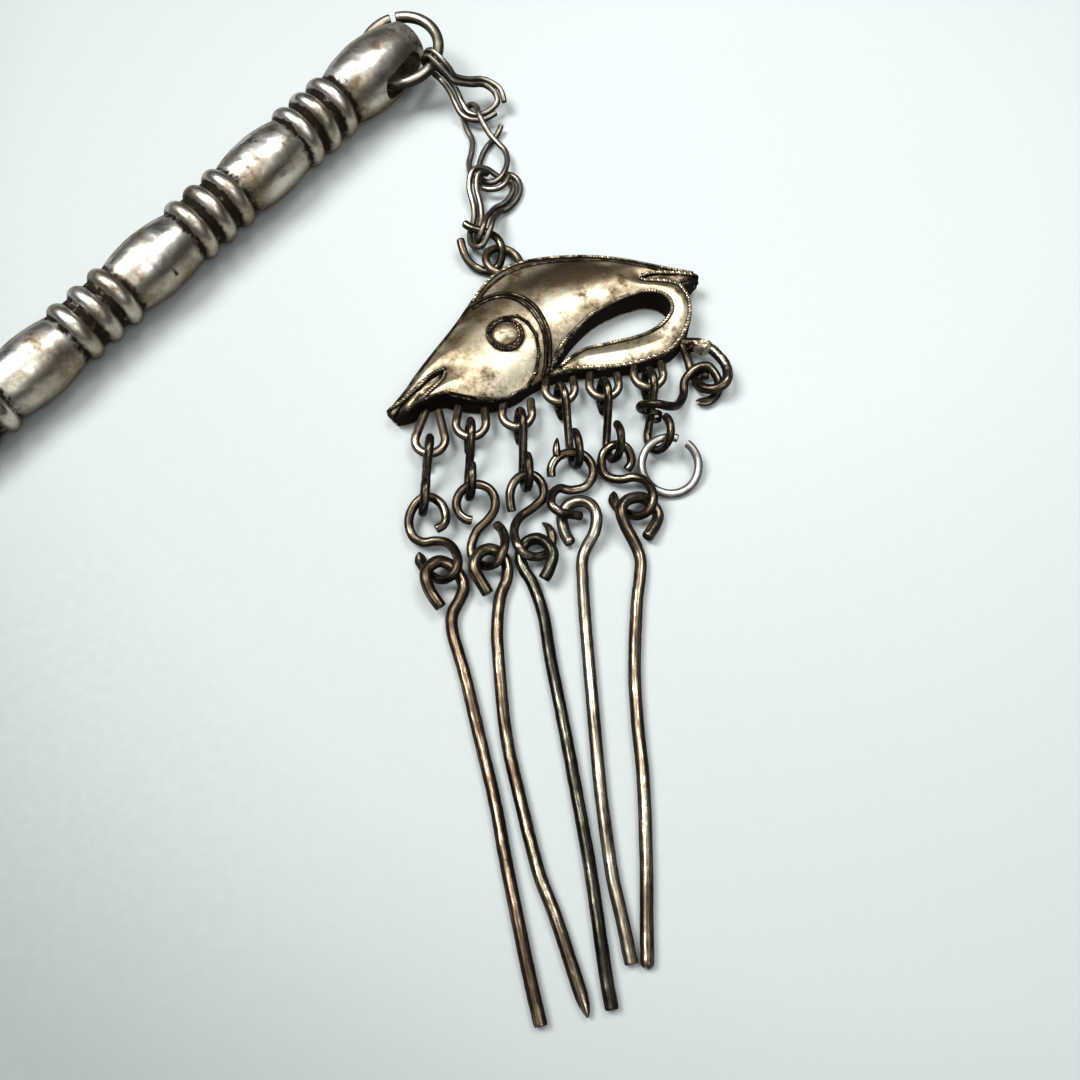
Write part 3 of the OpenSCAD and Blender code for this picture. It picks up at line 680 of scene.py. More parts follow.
# Doubled links of fine wire and the hook
TURN_GAP, FINE_R, LINK_R, LINK_C_TURNS = 1.0, 0.42, 0.58, 1.95
LINK_A_BEND = [7, 11]
link_a_curve = [
    [-6.6, 66, 1.8], [-8, 65.2, 1.6], [-9.5, 65.1, 1.5], [-10.8, 65.8, 1.6], [-11.7, 67.4, 2],
    [-12.5, 68.9, 2.8], [-13.7, 70.1, 3.7], [-14.8, 71.2, 3.9], [-16, 71.92, 4.75],
    [-16.32, 71.72, 6.25], [-15.3, 70.85, 7.5], [-14, 69.6, 7.1], [-13, 69, 6.2],
    [-12, 68.5, 5.2], [-10, 69, 4.2], [-8, 69.8, 3.4], [-6.2, 68.9, 2.8], [-5.6, 67.3, 2.2]]
link_b_path = [
    [-5.6, 64, 1], [-5.8, 63.3, 0.9], [-6.5, 62, 0.6], [-7.6, 60.5, 0.46], [-8.3, 58.6, 0.46],
    [-8.6, 56.3, 0.46], [-7.9, 54.2, 0.8], [-6.5, 53.4, 1.3], [-5.3, 54.2, 1.7],
    [-4.6, 56.6, 1.6], [-4.9, 58.8, 1.5], [-6, 60.3, 1.6], [-7.1, 61.5, 1.9], [-8.1, 63.1, 2.5],
    [-8.7, 64.7, 2.7], [-9.1, 66.4, 2.2], [-9.9, 67.7, 1.3], [-10.7, 67.6, 0.6],
    [-11, 66.3, 0.46], [-10.6, 64.1, 0.46], [-9.7, 61.9, 0.46], [-9.7, 59.8, 0.46],
    [-10, 57.5, 0.46], [-9.4, 54.6, 0.8], [-7.9, 52.5, 1.3], [-6.3, 51.9, 1.7], [-5, 52.6, 1.8],
    [-4.3, 54.2, 1.8]]
link_c_curve = [
    [-5.6, 55, 0.5], [-4, 54.3, 0.46], [-3.7, 52.4, 0.46], [-4.7, 50.3, 0.6], [-6, 49, 1],
    [-6.5, 47.4, 1.9], [-6.9, 45.5, 3.1], [-7.2, 43.7, 3.3], [-8.1, 42.3, 2], [-9, 43.6, 0.7],
    [-9.2, 45.4, 0.46], [-8.8, 47.5, 0.6], [-8.9, 49.4, 1], [-9.6, 52, 1.9], [-9.2, 54.3, 2.6],
    [-7.6, 55.4, 1.8]]
hook_curve = [
    [-10.7, 42.9, 2.2], [-10.1, 40.9, 1.6], [-9.2, 39.7, 1.1], [-8, 39.1, 0.7],
    [-6.7, 38.9, 0.65], [-5.6, 39.4, 1], [-5.1, 40.4, 1.9], [-5.1, 41.3, 2.6], [-5.7, 42.6, 2.7],
    [-6.7, 44, 1.9], [-8, 44.8, 1.65], [-9.4, 45.3, 1.7], [-10.3, 46, 1.7]]


def link(name, path, node, radius=LINK_R, finish=LINK, **form):
    """A link's wire that replaces a node of the model."""
    wire(name, path, radius, finish, "link_silver", [node], **form)


def build_chain():
    """The links between the head's ring and the pendant."""
    doubled = smooth(two_turns(link_a_curve, LINK_A_BEND, END_RING_RUN, TURN_GAP), 6)
    chain = [("link_a", doubled), ("link_b", smooth(link_b_path)),
             ("link_c", double_turn(link_c_curve, TURN_GAP, LINK_C_TURNS, 6))]
    for name, path in chain:
        link(name + "_wire", path, name, FINE_R, FINE, sides=14, step=0.16, seed=21)
    link("hook_wire", smooth(hook_curve), "hook_link", seed=25)


# Upper links, each a figure eight that stands nearly on edge: both middles, second radius and tilt
STAND, UPPER_R, UPPER_TURN = 80, 1.95, 262
upper_rows = [
    [-13.6, 10.35, -13.8, 4.7, 2.1, 80], [-8.6, 12.65, -8.4, 6.7, 2.1, 80],
    [-2.4, 14.05, -1.7, 7.9, 2.1, 80], [2.7, 17.65, 4.2, 11, 2.1, 80],
    [8, 18.35, 9, 12, 2.2, 72], [13.7, 19.85, 14.65, 13.3, 2.15, 56]]


def rest(radius, tilt):
    """Height at which the middle of a tilted wire loop rests."""
    return radius * math.sin(math.radians(tilt)) + LINK_R + REST_GAP


def figure_eight(c1, c2, r1, r2, tilt1, tilt2, turn):
    """A turn round c1, a straight run and a turn round c2."""
    steps = 40
    c1, c2 = np.array(c1), np.array(c2)
    u = unit(c2 - c1)
    side = unit(np.cross(UP, u))
    lift = np.cross(u, side)
    lean = [math.cos(math.radians(t)) * side + math.sin(math.radians(t)) * lift
            for t in (tilt1, tilt2)]
    gap = math.degrees(math.acos((r1 + r2) / np.linalg.norm(c2 - c1)))
    s = np.linspace(0, 1, steps + 1)[:, None]
    first, second = np.radians(gap + turn * (1 - s)), np.radians(180 + gap + turn * s)
    return np.concatenate([c1 + r1 * (np.cos(first) * u + np.sin(first) * lean[0]),
                           c2 + r2 * (np.cos(second) * u + np.sin(second) * lean[1])])


def build_upper_links():
    for i, (x1, y1, x2, y2, r2, tilt2) in enumerate(upper_rows):
        path = figure_eight([x1, y1, rest(UPPER_R, STAND)], [x2, y2, rest(r2, tilt2)],
                            UPPER_R, r2, STAND, tilt2, UPPER_TURN)
        link(f"upper_link_{i + 1}_wire", path, f"upper_link_{i + 1}", step=0.15, wear=0.09,
             seed=31 + i, flutes=0.08)


# Pointed end of wire at the fourth chain, and nearly two turns round the sixth link's waist
spike = [[2.05, 10.0, 2.6], [2.0, 11.0, 2.9], [2.1, 12.2, 3.1]]
COLLAR_R, COLLAR_TURN, COLLAR_AT, COLLAR_DRIFT = 0.74, 700, np.array([14.2, 15.85, 2.45]), 0.55
SPIKE_R, COLLAR_WIRE_R = 0.5, 0.24


def build_link_ends():
    wire("link_spike", smooth(spike), SPIKE_R, LINK, "link_silver", last_end="point", seed=38)
    waist = turned(arc(COLLAR_R, 0, COLLAR_TURN, 120), ("x", STAND)) + COLLAR_AT
    waist[:, 1] -= np.linspace(0, COLLAR_DRIFT, len(waist))
    wire("link_collar", waist, COLLAR_WIRE_R, LINK, "link_silver", sides=10, step=0.15, seed=39)


# Lower links, each a figure eight that lies nearly flat, and the forms of their ends
lower_paths = [
    [[-12.3, 0.45, 2.2], [-11.4, 1.1, 2.2], [-11.2, 2.2, 2.2], [-11.7, 3.6, 2.3],
     [-12.8, 4.5, 2.3], [-13.8, 4.6, 2.3], [-14.8, 3.9, 2.1], [-15.5, 2.6, 1.8],
     [-15.6, 1.2, 1.5], [-15, -0.2, 1.3], [-13.8, -0.8, 1.2], [-12.4, -0.7, 1.4],
     [-10.9, -1.2, 1.9], [-9.9, -2.5, 2.4], [-9.5, -4.1, 2.8], [-10, -5.4, 2.6],
     [-11.1, -5.8, 1.9], [-12.2, -5.4, 1.3], [-13.4, -4.3, 0.8], [-14.1, -3, 0.65],
     [-14.4, -1.8, 0.65]],
    [[-8.1, 1.95, 1.4], [-8.9, 2.1, 1.5], [-9.7, 2.8, 1.7], [-10, 3.9, 2], [-9.6, 5.2, 2.2],
     [-8.6, 6.1, 2.3], [-7.4, 6.3, 2.3], [-6.1, 5.8, 2.1], [-5.4, 4.6, 1.8], [-5.5, 3.2, 1.5],
     [-6.3, 2, 1.3], [-7.5, 0.8, 1], [-8.1, -0.8, 0.8], [-8.1, -2.1, 0.65], [-7.5, -3.2, 0.65],
     [-6.2, -3.9, 1.4], [-5, -3.8, 2.4], [-4.3, -2.7, 2.9], [-4.1, -1.2, 2.7], [-4.5, 0.3, 2.3],
     [-5.2, 1.2, 2]],
    [[-3.35, 3.2, 1.2], [-3.55, 4.2, 1.5], [-3.6, 5.4, 1.9], [-3.1, 6.7, 2.2], [-2.1, 7.5, 2.3],
     [-0.7, 7.5, 2.3], [0.3, 6.4, 2], [0.4, 4.9, 1.6], [-0.8, 3.7, 1.3], [-2.1, 2.7, 1.3],
     [-2.9, 1.3, 1.8], [-3, -0.5, 2.5], [-2.5, -2.1, 2.9], [-1.7, -2.8, 2.4], [-0.5, -2.8, 1.5],
     [0.8, -2.1, 0.8], [1.4, -0.9, 0.65], [1.4, 0.3, 0.65], [1, 1.4, 0.65], [0.2, 2, 0.65]],
    [[1.4, 7.8, 1.3], [1.4, 8.9, 1.7], [2.1, 10, 2.1], [3.5, 10.6, 2.3], [5.2, 10.4, 2.2],
     [6.3, 9.2, 1.9], [6.4, 7.7, 1.5], [5.4, 6.4, 1.3], [3.7, 5.9, 1.5], [2.3, 5.9, 2],
     [1.4, 4.7, 2.6], [1.4, 3.2, 3], [2.4, 2.4, 2.8], [3.7, 2.5, 1.9], [4.9, 2.7, 1]],
    [[10.6, 8.8, 1.2], [11.15, 9.6, 1.5], [11, 10.7, 2], [10.3, 11.5, 2.3], [9.1, 11.6, 2.4],
     [7.9, 10.8, 2.4], [7.5, 9.7, 2], [7.7, 8.6, 1.3], [8.4, 7.8, 1.2], [9.8, 7.4, 1.4],
     [11.3, 7.5, 1.8], [12.5, 6.9, 2.3], [13.3, 5.5, 2.8], [13.5, 3.9, 2.9], [12.9, 2.8, 2.3],
     [11.8, 2.5, 1.5], [10.7, 3.1, 0.8], [9.5, 3.8, 0.65], [8.9, 5, 0.65], [9, 6.2, 0.65]]]
lower_ends = [("flat", "leaf"), ("flat", "flat"), ("flat", "point"), ("flat", "flat"),
              ("flat", "leaf")]
joining_curve = [
    [19.7, 18.8, 0.63], [21.2, 18.8, 0.63], [22.4, 19.8, 0.68], [22.6, 21.4, 1.4],
    [21.4, 22.9, 2.2], [19.8, 22.9, 1.9], [18.4, 21.5, 1.3], [18.1, 19.4, 1.1],
    [17.2, 17.6, 1.8], [15.9, 16.4, 3.5], [14.3, 16.2, 4.4], [12.6, 16.7, 3.3],
    [12.7, 17.2, 1.4], [14.3, 17.3, 0.68]]


def build_lower_links():
    for i, (points, ends) in enumerate(zip(lower_paths, lower_ends)):
        link(f"lower_link_{i + 1}_wire", smooth(points), f"lower_link_{i + 1}",
             first_end=ends[0], last_end=ends[1], seed=41 + i)
    link("joining_wire", smooth(joining_curve), "joining_link", first_end="leaf", seed=51)


# Open ring at the sixth chain: its middle, rise, the direction of its rise, start and turn
SPLIT_RING_AT, SPLIT_RISE, SPLIT_HIGH = np.array([15.9, 9.25, 1.55]), 16.5, 104
SPLIT_RING_R, SPLIT_WIRE_R, SPLIT_START, SPLIT_TURN = 3.5, 0.52, 74, 340


def build_split_ring():
    path = turned(arc(SPLIT_RING_R, 0, SPLIT_TURN, 120), ("z", SPLIT_START - SPLIT_HIGH),
                  ("y", -SPLIT_RISE), ("z", SPLIT_HIGH)) + SPLIT_RING_AT
    wire("split_ring_wire", path, SPLIT_WIRE_R, BRIGHT, "ring_silver", ["split_ring"], wear=0.03,
         seed=55)


# Drops: the open eye's points, the places that the long part lies on, and the tip's form
DROP_R = 0.75
drop_eyes = [
    [[-11.35, -9.15, 1.75], [-12.5, -7.6, 2.15], [-13.2, -5.9, 2.5], [-13, -4.5, 2.3],
     [-11.8, -3.5, 1.9], [-10.5, -3.8, 1.4], [-9.5, -4.8, 1], [-8.9, -6.3, 0.8]],
    [[-6, -7.45, 1.6], [-6.9, -6, 1.9], [-7.6, -4.7, 2.2], [-7.6, -3.5, 2.2], [-6.9, -2.3, 1.9],
     [-5.7, -1.8, 1.5], [-4.5, -2.4, 1], [-3.9, -3.6, 0.8]],
    [[0.42, -5.7, 1.75], [1.1, -4.5, 2.1], [1.5, -2.8, 2.2], [0.9, -1.4, 2], [-0.2, -0.5, 1.6],
     [-1.4, -0.6, 1.1], [-2.1, -1.4, 0.9], [-2.3, -2.8, 0.8]],
    [[3.6, -0.9, 1.2], [2.95, 0.6, 0.9], [2.65, 2.4, 0.85], [3.1, 3.8, 1], [4.2, 4.4, 1.4],
     [5.4, 4.2, 1.9], [6.4, 3.2, 2.3], [6.7, 1.7, 2.4], [6.4, 0.1, 2], [5.5, -1.4, 1.2]],
    [[12.7, -0.2, 1.3], [13.7, 1.4, 1], [14.2, 2.8, 0.8], [13.7, 4, 1], [12.7, 4.8, 1.4],
     [11.6, 4.8, 1.8], [10.4, 4.2, 2.2], [9.7, 3.2, 2.4], [9.7, 2.1, 2.4], [10.2, 0.9, 1.9],
     [11, -0.4, 1.2]]]
drop_shanks = [
    [[-9.3, -7.7], [-10.1, -9.6], [-10, -12], [-8.5, -16.9], [-6.4, -25], [-4.8, -31.2],
     [-3.4, -38], [-1.2, -47.7], [0.1, -52.9]],
    [[-3.9, -5.3], [-4.6, -7.4], [-4.9, -10.5], [-4.8, -14], [-3.8, -23.4], [-2.1, -30.8],
     [-0.2, -38], [1.7, -42.9], [4.4, -50.8], [4.7, -52.1]],
    [[-1.8, -4.3], [-0.9, -5.8], [0.4, -9.8], [1.2, -15], [2.6, -22.4], [4, -30.3], [5.3, -38],
     [6.6, -47.7], [7.2, -51.4]],
    [[5, -2.9], [5, -5], [5.2, -9.9], [5.6, -16.2], [6.1, -23.6], [6.6, -30.3], [7.5, -38],
     [8.5, -42.9], [9.3, -47.2]],
    [[11.7, -1.9], [11.9, -3.3], [11.7, -5.3], [11.2, -8.9], [10.7, -16.3], [10.8, -22],
     [11.2, -28.4], [11.2, -37], [11, -42.9], [10.9, -47.7]]]
drop_ends = ["flat", "point", "flat", "flat", "round"]


def build_drops():
    for i, (eye, shank) in enumerate(zip(drop_eyes, drop_shanks)):
        points = eye + [[x, y, DROP_R + REST_GAP] for x, y in shank]
        wire(f"drop_{i + 1}_wire", smooth(points), DROP_R, DROPS[i], "drop_silver",
             [f"drop_{i + 1}"], last_end=drop_ends[i], sides=18, step=0.24, wear=0.07, seed=61 + i)


# Pendant: the rim's height, the dome's height and the ring that its upper side is part of
RIM, DOME = 2.7, 4.2
DOME_CENTRE, DOME_RUN_R, DOME_TUBE_R = np.array([13.5, 6.5]), 27.2, 13
back_edge = [
    [-19.1, 16.5], [-17.4, 18.5], [-15.6, 21.8], [-11.5, 28.4], [-8.2, 34.4], [-6.4, 36.8],
    [-4.5, 38.5], [-1.9, 39.5], [1.3, 40.1], [4.6, 40.3], [7.8, 40.2], [11, 39.5], [14.2, 38.3],
    [17.4, 37.3], [20.2, 36.6], [20.8, 35.8]]
fin_outer_edge = [
    [19.5, 34.8], [18.6, 33.9], [19.3, 32.5], [19.5, 30.3], [18.9, 28], [17.4, 25.6],
    [15.5, 24.3], [12, 23.1], [8, 22.5], [4.9, 22.3], [2.8, 21.8], [1.2, 21.4]]
belly_edge = [
    [0.4, 21], [-1.2, 20], [-3, 18.6], [-5.4, 17.6], [-7.8, 17.2], [-10.3, 17.6], [-12.1, 18],
    [-14.2, 17.3], [-15.8, 16], [-17.7, 15.2]]
fin_opening = [
    [1.7, 22.6], [3.4, 24], [5, 25.4], [6.6, 26], [9.4, 26.7], [12.2, 27.5], [14.4, 28.4],
    [15.9, 29.5], [16.7, 30.8], [16.3, 32.2], [14.6, 33.1], [12.4, 32.8], [9.5, 31.6],
    [6.6, 29.7], [4.4, 27.3], [2.8, 24.8]]
tail_slot = [[13.1, 35.7], [14.7, 36.2], [17.6, 36.2], [21.2, 36], [18.5, 34.8], [16, 35],
             [13.6, 35.2]]
mouth_slot = [[-11.9, 21.6], [-13.4, 20.8], [-15, 19.2], [-17.2, 17], [-18.4, 15.2],
              [-16.8, 15.7], [-15.2, 17.3], [-13.6, 18.8], [-12.2, 20.4]]
EYE, EYE_R, EYE_RING_R, EYE_RISE = np.array([-4.3, 26.1]), 1.75, 2.42, 0.66
OUTLINE_STEP, FIELD_STEP, ROW_SHARE = 0.2, 0.24, 0.866
FIELD_X, FIELD_Y = (-19.5, 21.2), (15, 40.6)


def dense(points):
    """A closed outline with points at even steps."""
    p = np.concatenate([points, points[:1]])
    far = travelled(p)
    at = np.linspace(0, far[-1], int(far[-1] / OUTLINE_STEP), endpoint=False)
    return np.stack([np.interp(at, far, p[:, k]) for k in range(2)], axis=1)


fish_edge = dense(np.concatenate([smooth(back_edge, 6), smooth(fin_outer_edge, 6),
                                  smooth(belly_edge, 6)]))
cuts = [dense(smooth_ring(fin_opening, 6)), dense(np.array(tail_slot, float)),
        dense(np.array(mouth_slot, float))]


def inside(points, outline):
    """Which points lie inside the outline."""
    x, y = points[:, :1], points[:, 1:]
    x1, y1 = outline[:, 0][None], outline[:, 1][None]
    x2, y2 = np.roll(outline[:, 0], -1)[None], np.roll(outline[:, 1], -1)[None]
    crosses = (y1 > y) != (y2 > y)
    with np.errstate(divide="ignore", invalid="ignore"):
        at = x1 + (y - y1) / (y2 - y1) * (x2 - x1)
    return (np.sum(crosses & (x < at), axis=1) % 2) == 1


def nearest(points, marks):
    """Distance from each point to the nearest mark, a block of points at a time."""
    out, block = np.empty(len(points)), 2000
    for start in range(0, len(points), block):
        part = points[start:start + block]
        off = ((part[:, None, :] - marks[None, :, :]) ** 2).sum(axis=2)
        out[start:start + block] = np.sqrt(off.min(axis=1))
    return out


def fish_height(points):
    """Height of the fish's upper side: the dome over the rim, soft towards the edges."""
    p = np.atleast_2d(np.asarray(points, float))[:, :2]
    off = np.linalg.norm(p - DOME_CENTRE, axis=1) - DOME_RUN_R
    swell = DOME - DOME_TUBE_R + np.sqrt(np.clip(DOME_TUBE_R ** 2 - off ** 2, 0, None))
    soft = 0.12
    height = RIM + soft * np.log1p(np.exp((swell - RIM) / soft)) - soft * math.log(2) * 0.5
    edge = nearest(p, fish_marks)
    pillow = 0.62 * (1 - np.exp(-(edge / 2.3) ** 2)) - 0.14
    return height - 0.32 * np.exp(-(edge / 0.7) ** 2) + pillow


def fish_points():
    """A fine even field of points inside the fish, away from its edges."""
    rows = []
    for j, y in enumerate(np.arange(*FIELD_Y, FIELD_STEP * ROW_SHARE)):
        x = np.arange(*FIELD_X, FIELD_STEP) + (FIELD_STEP / 2 if j % 2 else 0)
        rows.append(np.stack([x, np.full_like(x, y)], axis=1))
    field = np.concatenate(rows)
    keep = inside(field, fish_edge)
    for cut in cuts:
        keep &= ~inside(field, cut)
    field = field[keep]
    return field[nearest(field, fish_marks) > FIELD_STEP * 0.55]


def edge_marks():
    """Points of the fish's real edge: the outline outside the cuts, the cuts inside it."""
    keep = ~np.any([inside(fish_edge, cut) for cut in cuts], axis=0)
    marks = [fish_edge[keep]] + [cut[inside(cut, fish_edge)] for cut in cuts]
    return np.concatenate(marks)


fish_marks = edge_marks()


def anticlockwise(loop):
    """The closed outline, turned round if it runs clockwise."""
    x, y = loop.T
    return loop if np.sum(x * np.roll(y, -1) - np.roll(x, -1) * y) > 0 else loop[::-1]


def fish_plan():
    """Flat triangles that fill the fish's outline outside its cuts."""
    inside_only, precision = 1, 1e-5
    points, faces = [], []
    for loop in [anticlockwise(loop) for loop in [fish_edge] + cuts]:
        faces.append(list(range(len(points), len(points) + len(loop))))
        points += loop.tolist()
    points += fish_points().tolist()
    flat, _, triangles, _, _, sources = delaunay_2d_cdt(
        [Vector(p) for p in points], [], faces, inside_only, precision)
    kept = [t for t, source in zip(triangles, sources) if set(source) == {0}]
    used = sorted({v for t in kept for v in t})
    index = {v: k for k, v in enumerate(used)}
    kept = [[index[v] for v in t] for t in kept]
    flat = np.array([tuple(v) for v in flat])[used]
    a, b, c = (flat[[t[k] for t in kept]] for k in range(3))
    area = np.cross(b - a, c - a)
    return flat, [t if s > 0 else t[::-1] for t, s in zip(kept, area)]


# Dark clouds on the fish, tarnish and painted shade: x, y, radius, strength
stains_and_shade = [
    [2.9, 35.6, 2.3, 1.0], [6.3, 36.4, 2.3, 1.0], [8.4, 35.7, 1.7, 0.8], [0.1, 35.4, 2.2, 0.8],
    [-1.7, 33.7, 1.6, 0.7], [-4.2, 33.9, 1.8, 0.6], [4, 38.2, 2.2, 0.9], [10.6, 36.8, 1.4, 0.5],
    [-8, 29.8, 1.9, 0.6], [-5.3, 31.3, 1.6, 0.6], [-10.9, 25.4, 1.7, 0.55], [-11.9, 22.8, 1.2, 0.5],
    [-9.5, 27.3, 1.4, 0.45], [-14.5, 19.4, 1.4, 0.6], [-15.8, 19, 1.3, 0.55], [-7.8, 24.4, 1.1, 0.35],
    [3.9, 24.6, 0.8, 0.9], [-2.4, 17.6, 0.9, 0.4], [-9.3, 21.6, 1.1, 0.3], [13, 33.8, 0.9, 0.3],
    [-1.9, 30.2, 1.0, 0.5], [-6.6, 20.6, 1.1, 0.25], [12.4, 36.9, 0.9, 0.5], [17.2, 36.6, 0.9, 0.6],
    [-1.8, 38.5, 0.8, 0.7], [1.4, 39.2, 0.8, 0.8], [4.6, 39.4, 0.8, 0.8], [7.8, 39.3, 0.8, 0.8],
    [11, 38.6, 0.8, 0.8], [14.2, 37.7, 0.8, 0.7]]
# Places painted bright on the fish: painted highlights and wear
polished = [
    [-2.6, 22.2, 1.9, 1.0], [-1.3, 24.6, 1.1, 1.0], [-4.3, 19.2, 1.7, 0.7], [-6.4, 18.9, 1.4, 0.45],
    [-4, 22, 1.6, 0.5], [1.4, 31.2, 1.9, 0.9], [3.8, 31.2, 1.7, 0.8], [0.4, 28.9, 1.3, 0.6],
    [6.9, 32.6, 1.5, 0.5], [9.1, 24.2, 2, 1.0], [6.1, 23.8, 1.5, 0.9], [12.4, 25, 1.6, 0.7],
    [17.3, 29.8, 1.4, 0.9], [16.1, 27, 1.4, 0.6], [17.4, 32.4, 1.1, 0.6], [-10.2, 18.6, 0.9, 0.35]]


def cloud_sum(flat, spots):
    """How strongly the soft round spots cover each point."""
    return sum(s * np.exp(-((flat - [x, y]) ** 2).sum(axis=1) / (r * r)) for x, y, r, s in spots)


# Where the underside starts to rise along X, over what run and how far
TAIL_THINS, SNOUT_THINS = (17.5, 3.2, 1.0), (-15.2, -3.6, 0.8)


def thin_tips(points):
    """Height of the underside, which rises towards the tail and the snout."""
    return sum(rise * np.clip((points[:, 0] - start) / run, 0, 1) ** 2
               for start, run, rise in (TAIL_THINS, SNOUT_THINS))


def fish_mesh(flat, triangles):
    """Points and faces of the body, and the number of its first point on the underside."""
    levels, n = 6, len(flat)
    edges = dict.fromkeys((a, b) for t in triangles for a, b in zip(t, t[1:] + t[:1]))
    rim = [(a, b) for a, b in edges if (b, a) not in edges]
    rim_at = sorted({v for edge in rim for v in edge})
    place = {v: n + k for k, v in enumerate(rim_at)}
    top = np.column_stack([flat, fish_height(flat)])
    bottom = np.column_stack([flat, thin_tips(flat)])
    high, low = top[rim_at], bottom[rim_at]
    walls = [low + (high - low) * (1 - k / levels) for k in range(1, levels)]
    below = n + (levels - 1) * len(rim_at)

    def at(v, level):
        wall = place[v] + (level - 1) * len(rim_at)
        return v if level == 0 else below + v if level == levels else wall

    faces = [list(t) for t in triangles]
    faces += [[at(b, k), at(a, k), at(a, k + 1), at(b, k + 1)] for a, b in rim
              for k in range(levels)]
    faces += [[below + t[0], below + t[2], below + t[1]] for t in triangles]
    return np.concatenate([top, *walls, bottom]), faces, below


def build_fish():
    """The body: domed top, side walls and underside, with tarnish and painted shade at its edges and
    lines, walls painted nearly black as shade, and dark clouds.
    """
    flat, triangles = fish_plan()
    points, faces, below = fish_mesh(flat, triangles)
    n, cloud = len(flat), cloud_sum(flat, stains_and_shade)
    lines = np.concatenate([gill_outer[:, :2], gill_inner[:, :2], eye_spiral[:, :2]])
    # Darker along the edges and the lines on top: tarnish and painted shade beside the wires
    at_edge = 0.95 * np.exp(-(nearest(flat, fish_marks) / 0.5) ** 2)
    at_line = 0.8 * np.exp(-(nearest(flat, lines) / 0.46) ** 2)
    dirt, polish, shade = np.zeros((3, len(points)))
    dirt[:n] = np.clip(np.maximum(at_edge, at_line) + 0.3 * np.minimum(cloud, 1.1), 0, 1)
    # The side walls painted nearly black as shade
    dirt[n:below] = 1.5
    # Painted shade and tarnish from the dark clouds, painted highlights from the bright places
    shade[:n] = np.clip(cloud, 0, 1)
    polish[:n] = np.clip(cloud_sum(flat, polished), 0, 1)
    piece("fish_body", points, faces, FISH, ["pendant"],
          {"dirt": dirt, "polish": polish, "shade": shade}, sharp=38)


def on_fish(points, sink=0.0):
    """A line on the fish's upper side, its middle lifted by -sink; few points are smoothed."""
    few, steps = 60, 5
    flat = smooth([p[:2] for p in points], steps) if len(points) < few else np.array(points)[:, :2]
    return np.column_stack([flat, fish_height(flat) - sink])


back_rope = [[-8.8, 32.6], [-7.3, 35.2], [-5.9, 36.9], [-4.2, 38], [-1.8, 39], [2, 39.6],
             [5.8, 39.8], [9.6, 39.5], [13.3, 38.3], [17.3, 37], [20, 36.4]]
back_line = [[-7.9, 32.9], [-6.7, 34.7], [-4.2, 36.9], [-1.1, 38.2], [3.3, 38.9], [8, 38.9],
             [12, 37.8], [15.7, 36.8], [18.6, 36.3]]
gill_outer = on_fish([[-8.9, 31.9], [-6.9, 32.9], [-4.2, 32.8], [-1.7, 31.4], [0.1, 29.1],
                      [1.2, 26.2], [1.2, 23], [0.8, 21.6]])
gill_inner = on_fish([[-8.6, 31.3], [-6.6, 32.3], [-4.3, 32.2], [-2.1, 30.8], [-0.4, 28.6],
                      [0.6, 26.1], [0.7, 22.9], [0.4, 21.4]])
belly_line = [[-15.4, 16.6], [-13.7, 17.6], [-11.7, 18.2], [-7.4, 17.5], [-4.2, 18.1], [-1.6, 19.8],
              [-0.5, 21.8], [-0.1, 24], [-0.5, 26.3], [-1.6, 27.9], [-2.9, 28.8]]
EYE_START, EYE_TURN, EYE_STEPS = 78, 700, 90


def eye_turn():
    """Two turns of wire that close in round the eye's dome."""
    a = np.radians(np.linspace(EYE_START, EYE_START + EYE_TURN, EYE_STEPS))
    closer = np.array([-0.1, 0.24, 0.34, 0.72])
    radii = np.interp(np.linspace(0, 1, EYE_STEPS), [0, 0.2, 0.55, 1], EYE_RING_R - closer)
    return [[EYE[0] + r * math.cos(t), EYE[1] + r * math.sin(t)] for r, t in zip(radii, a)]


eye_spiral = on_fish(belly_line + eye_turn()[2:])
opening_rope = [[1.4, 22], [1.9, 24.1], [3.1, 26.2], [4.9, 28.3], [7, 30.2], [9.7, 31.9],
                [12.5, 33], [14.7, 33.3], [16.5, 32.4], [17, 30.8], [16.1, 29.2], [14.5, 28.1],
                [12.3, 27.2], [9.4, 26.4], [6.7, 25.7], [5.2, 25.1], [3.6, 23.8], [2.5, 22.6]]
fin_rope = [[2.3, 22], [3.7, 22.5], [6.1, 22.7], [9.1, 22.9], [12, 23.4], [15.2, 24.6],
            [17.1, 25.9], [18.6, 28.2], [19.2, 30.4], [19, 32.4], [18.3, 33.8], [16.9, 34.8],
            [15, 35], [13.4, 35.1], [12.9, 35.5], [13.5, 36], [15.1, 36.4], [17.6, 36.4],
            [19.8, 36.2]]
jaw_upper = [[-11.9, 21.8], [-13.5, 21.1], [-15.1, 19.5], [-17.1, 17.6], [-18.6, 16.5]]
jaw_lower = [[-11.8, 21.2], [-12, 20.2], [-13.4, 18.6], [-15, 17.1], [-16.3, 15.9]]
face_line = [[-18.3, 17], [-16.6, 19.4], [-15, 21.9], [-12.8, 25.6], [-10.8, 29], [-9, 32]]
ROPE_R, PITCH = 0.27, 0.74
GILL_OUTER_R, GILL_INNER_R, THIN_LINE_R, RAGGED_R = 0.3, 0.26, 0.2, 0.24


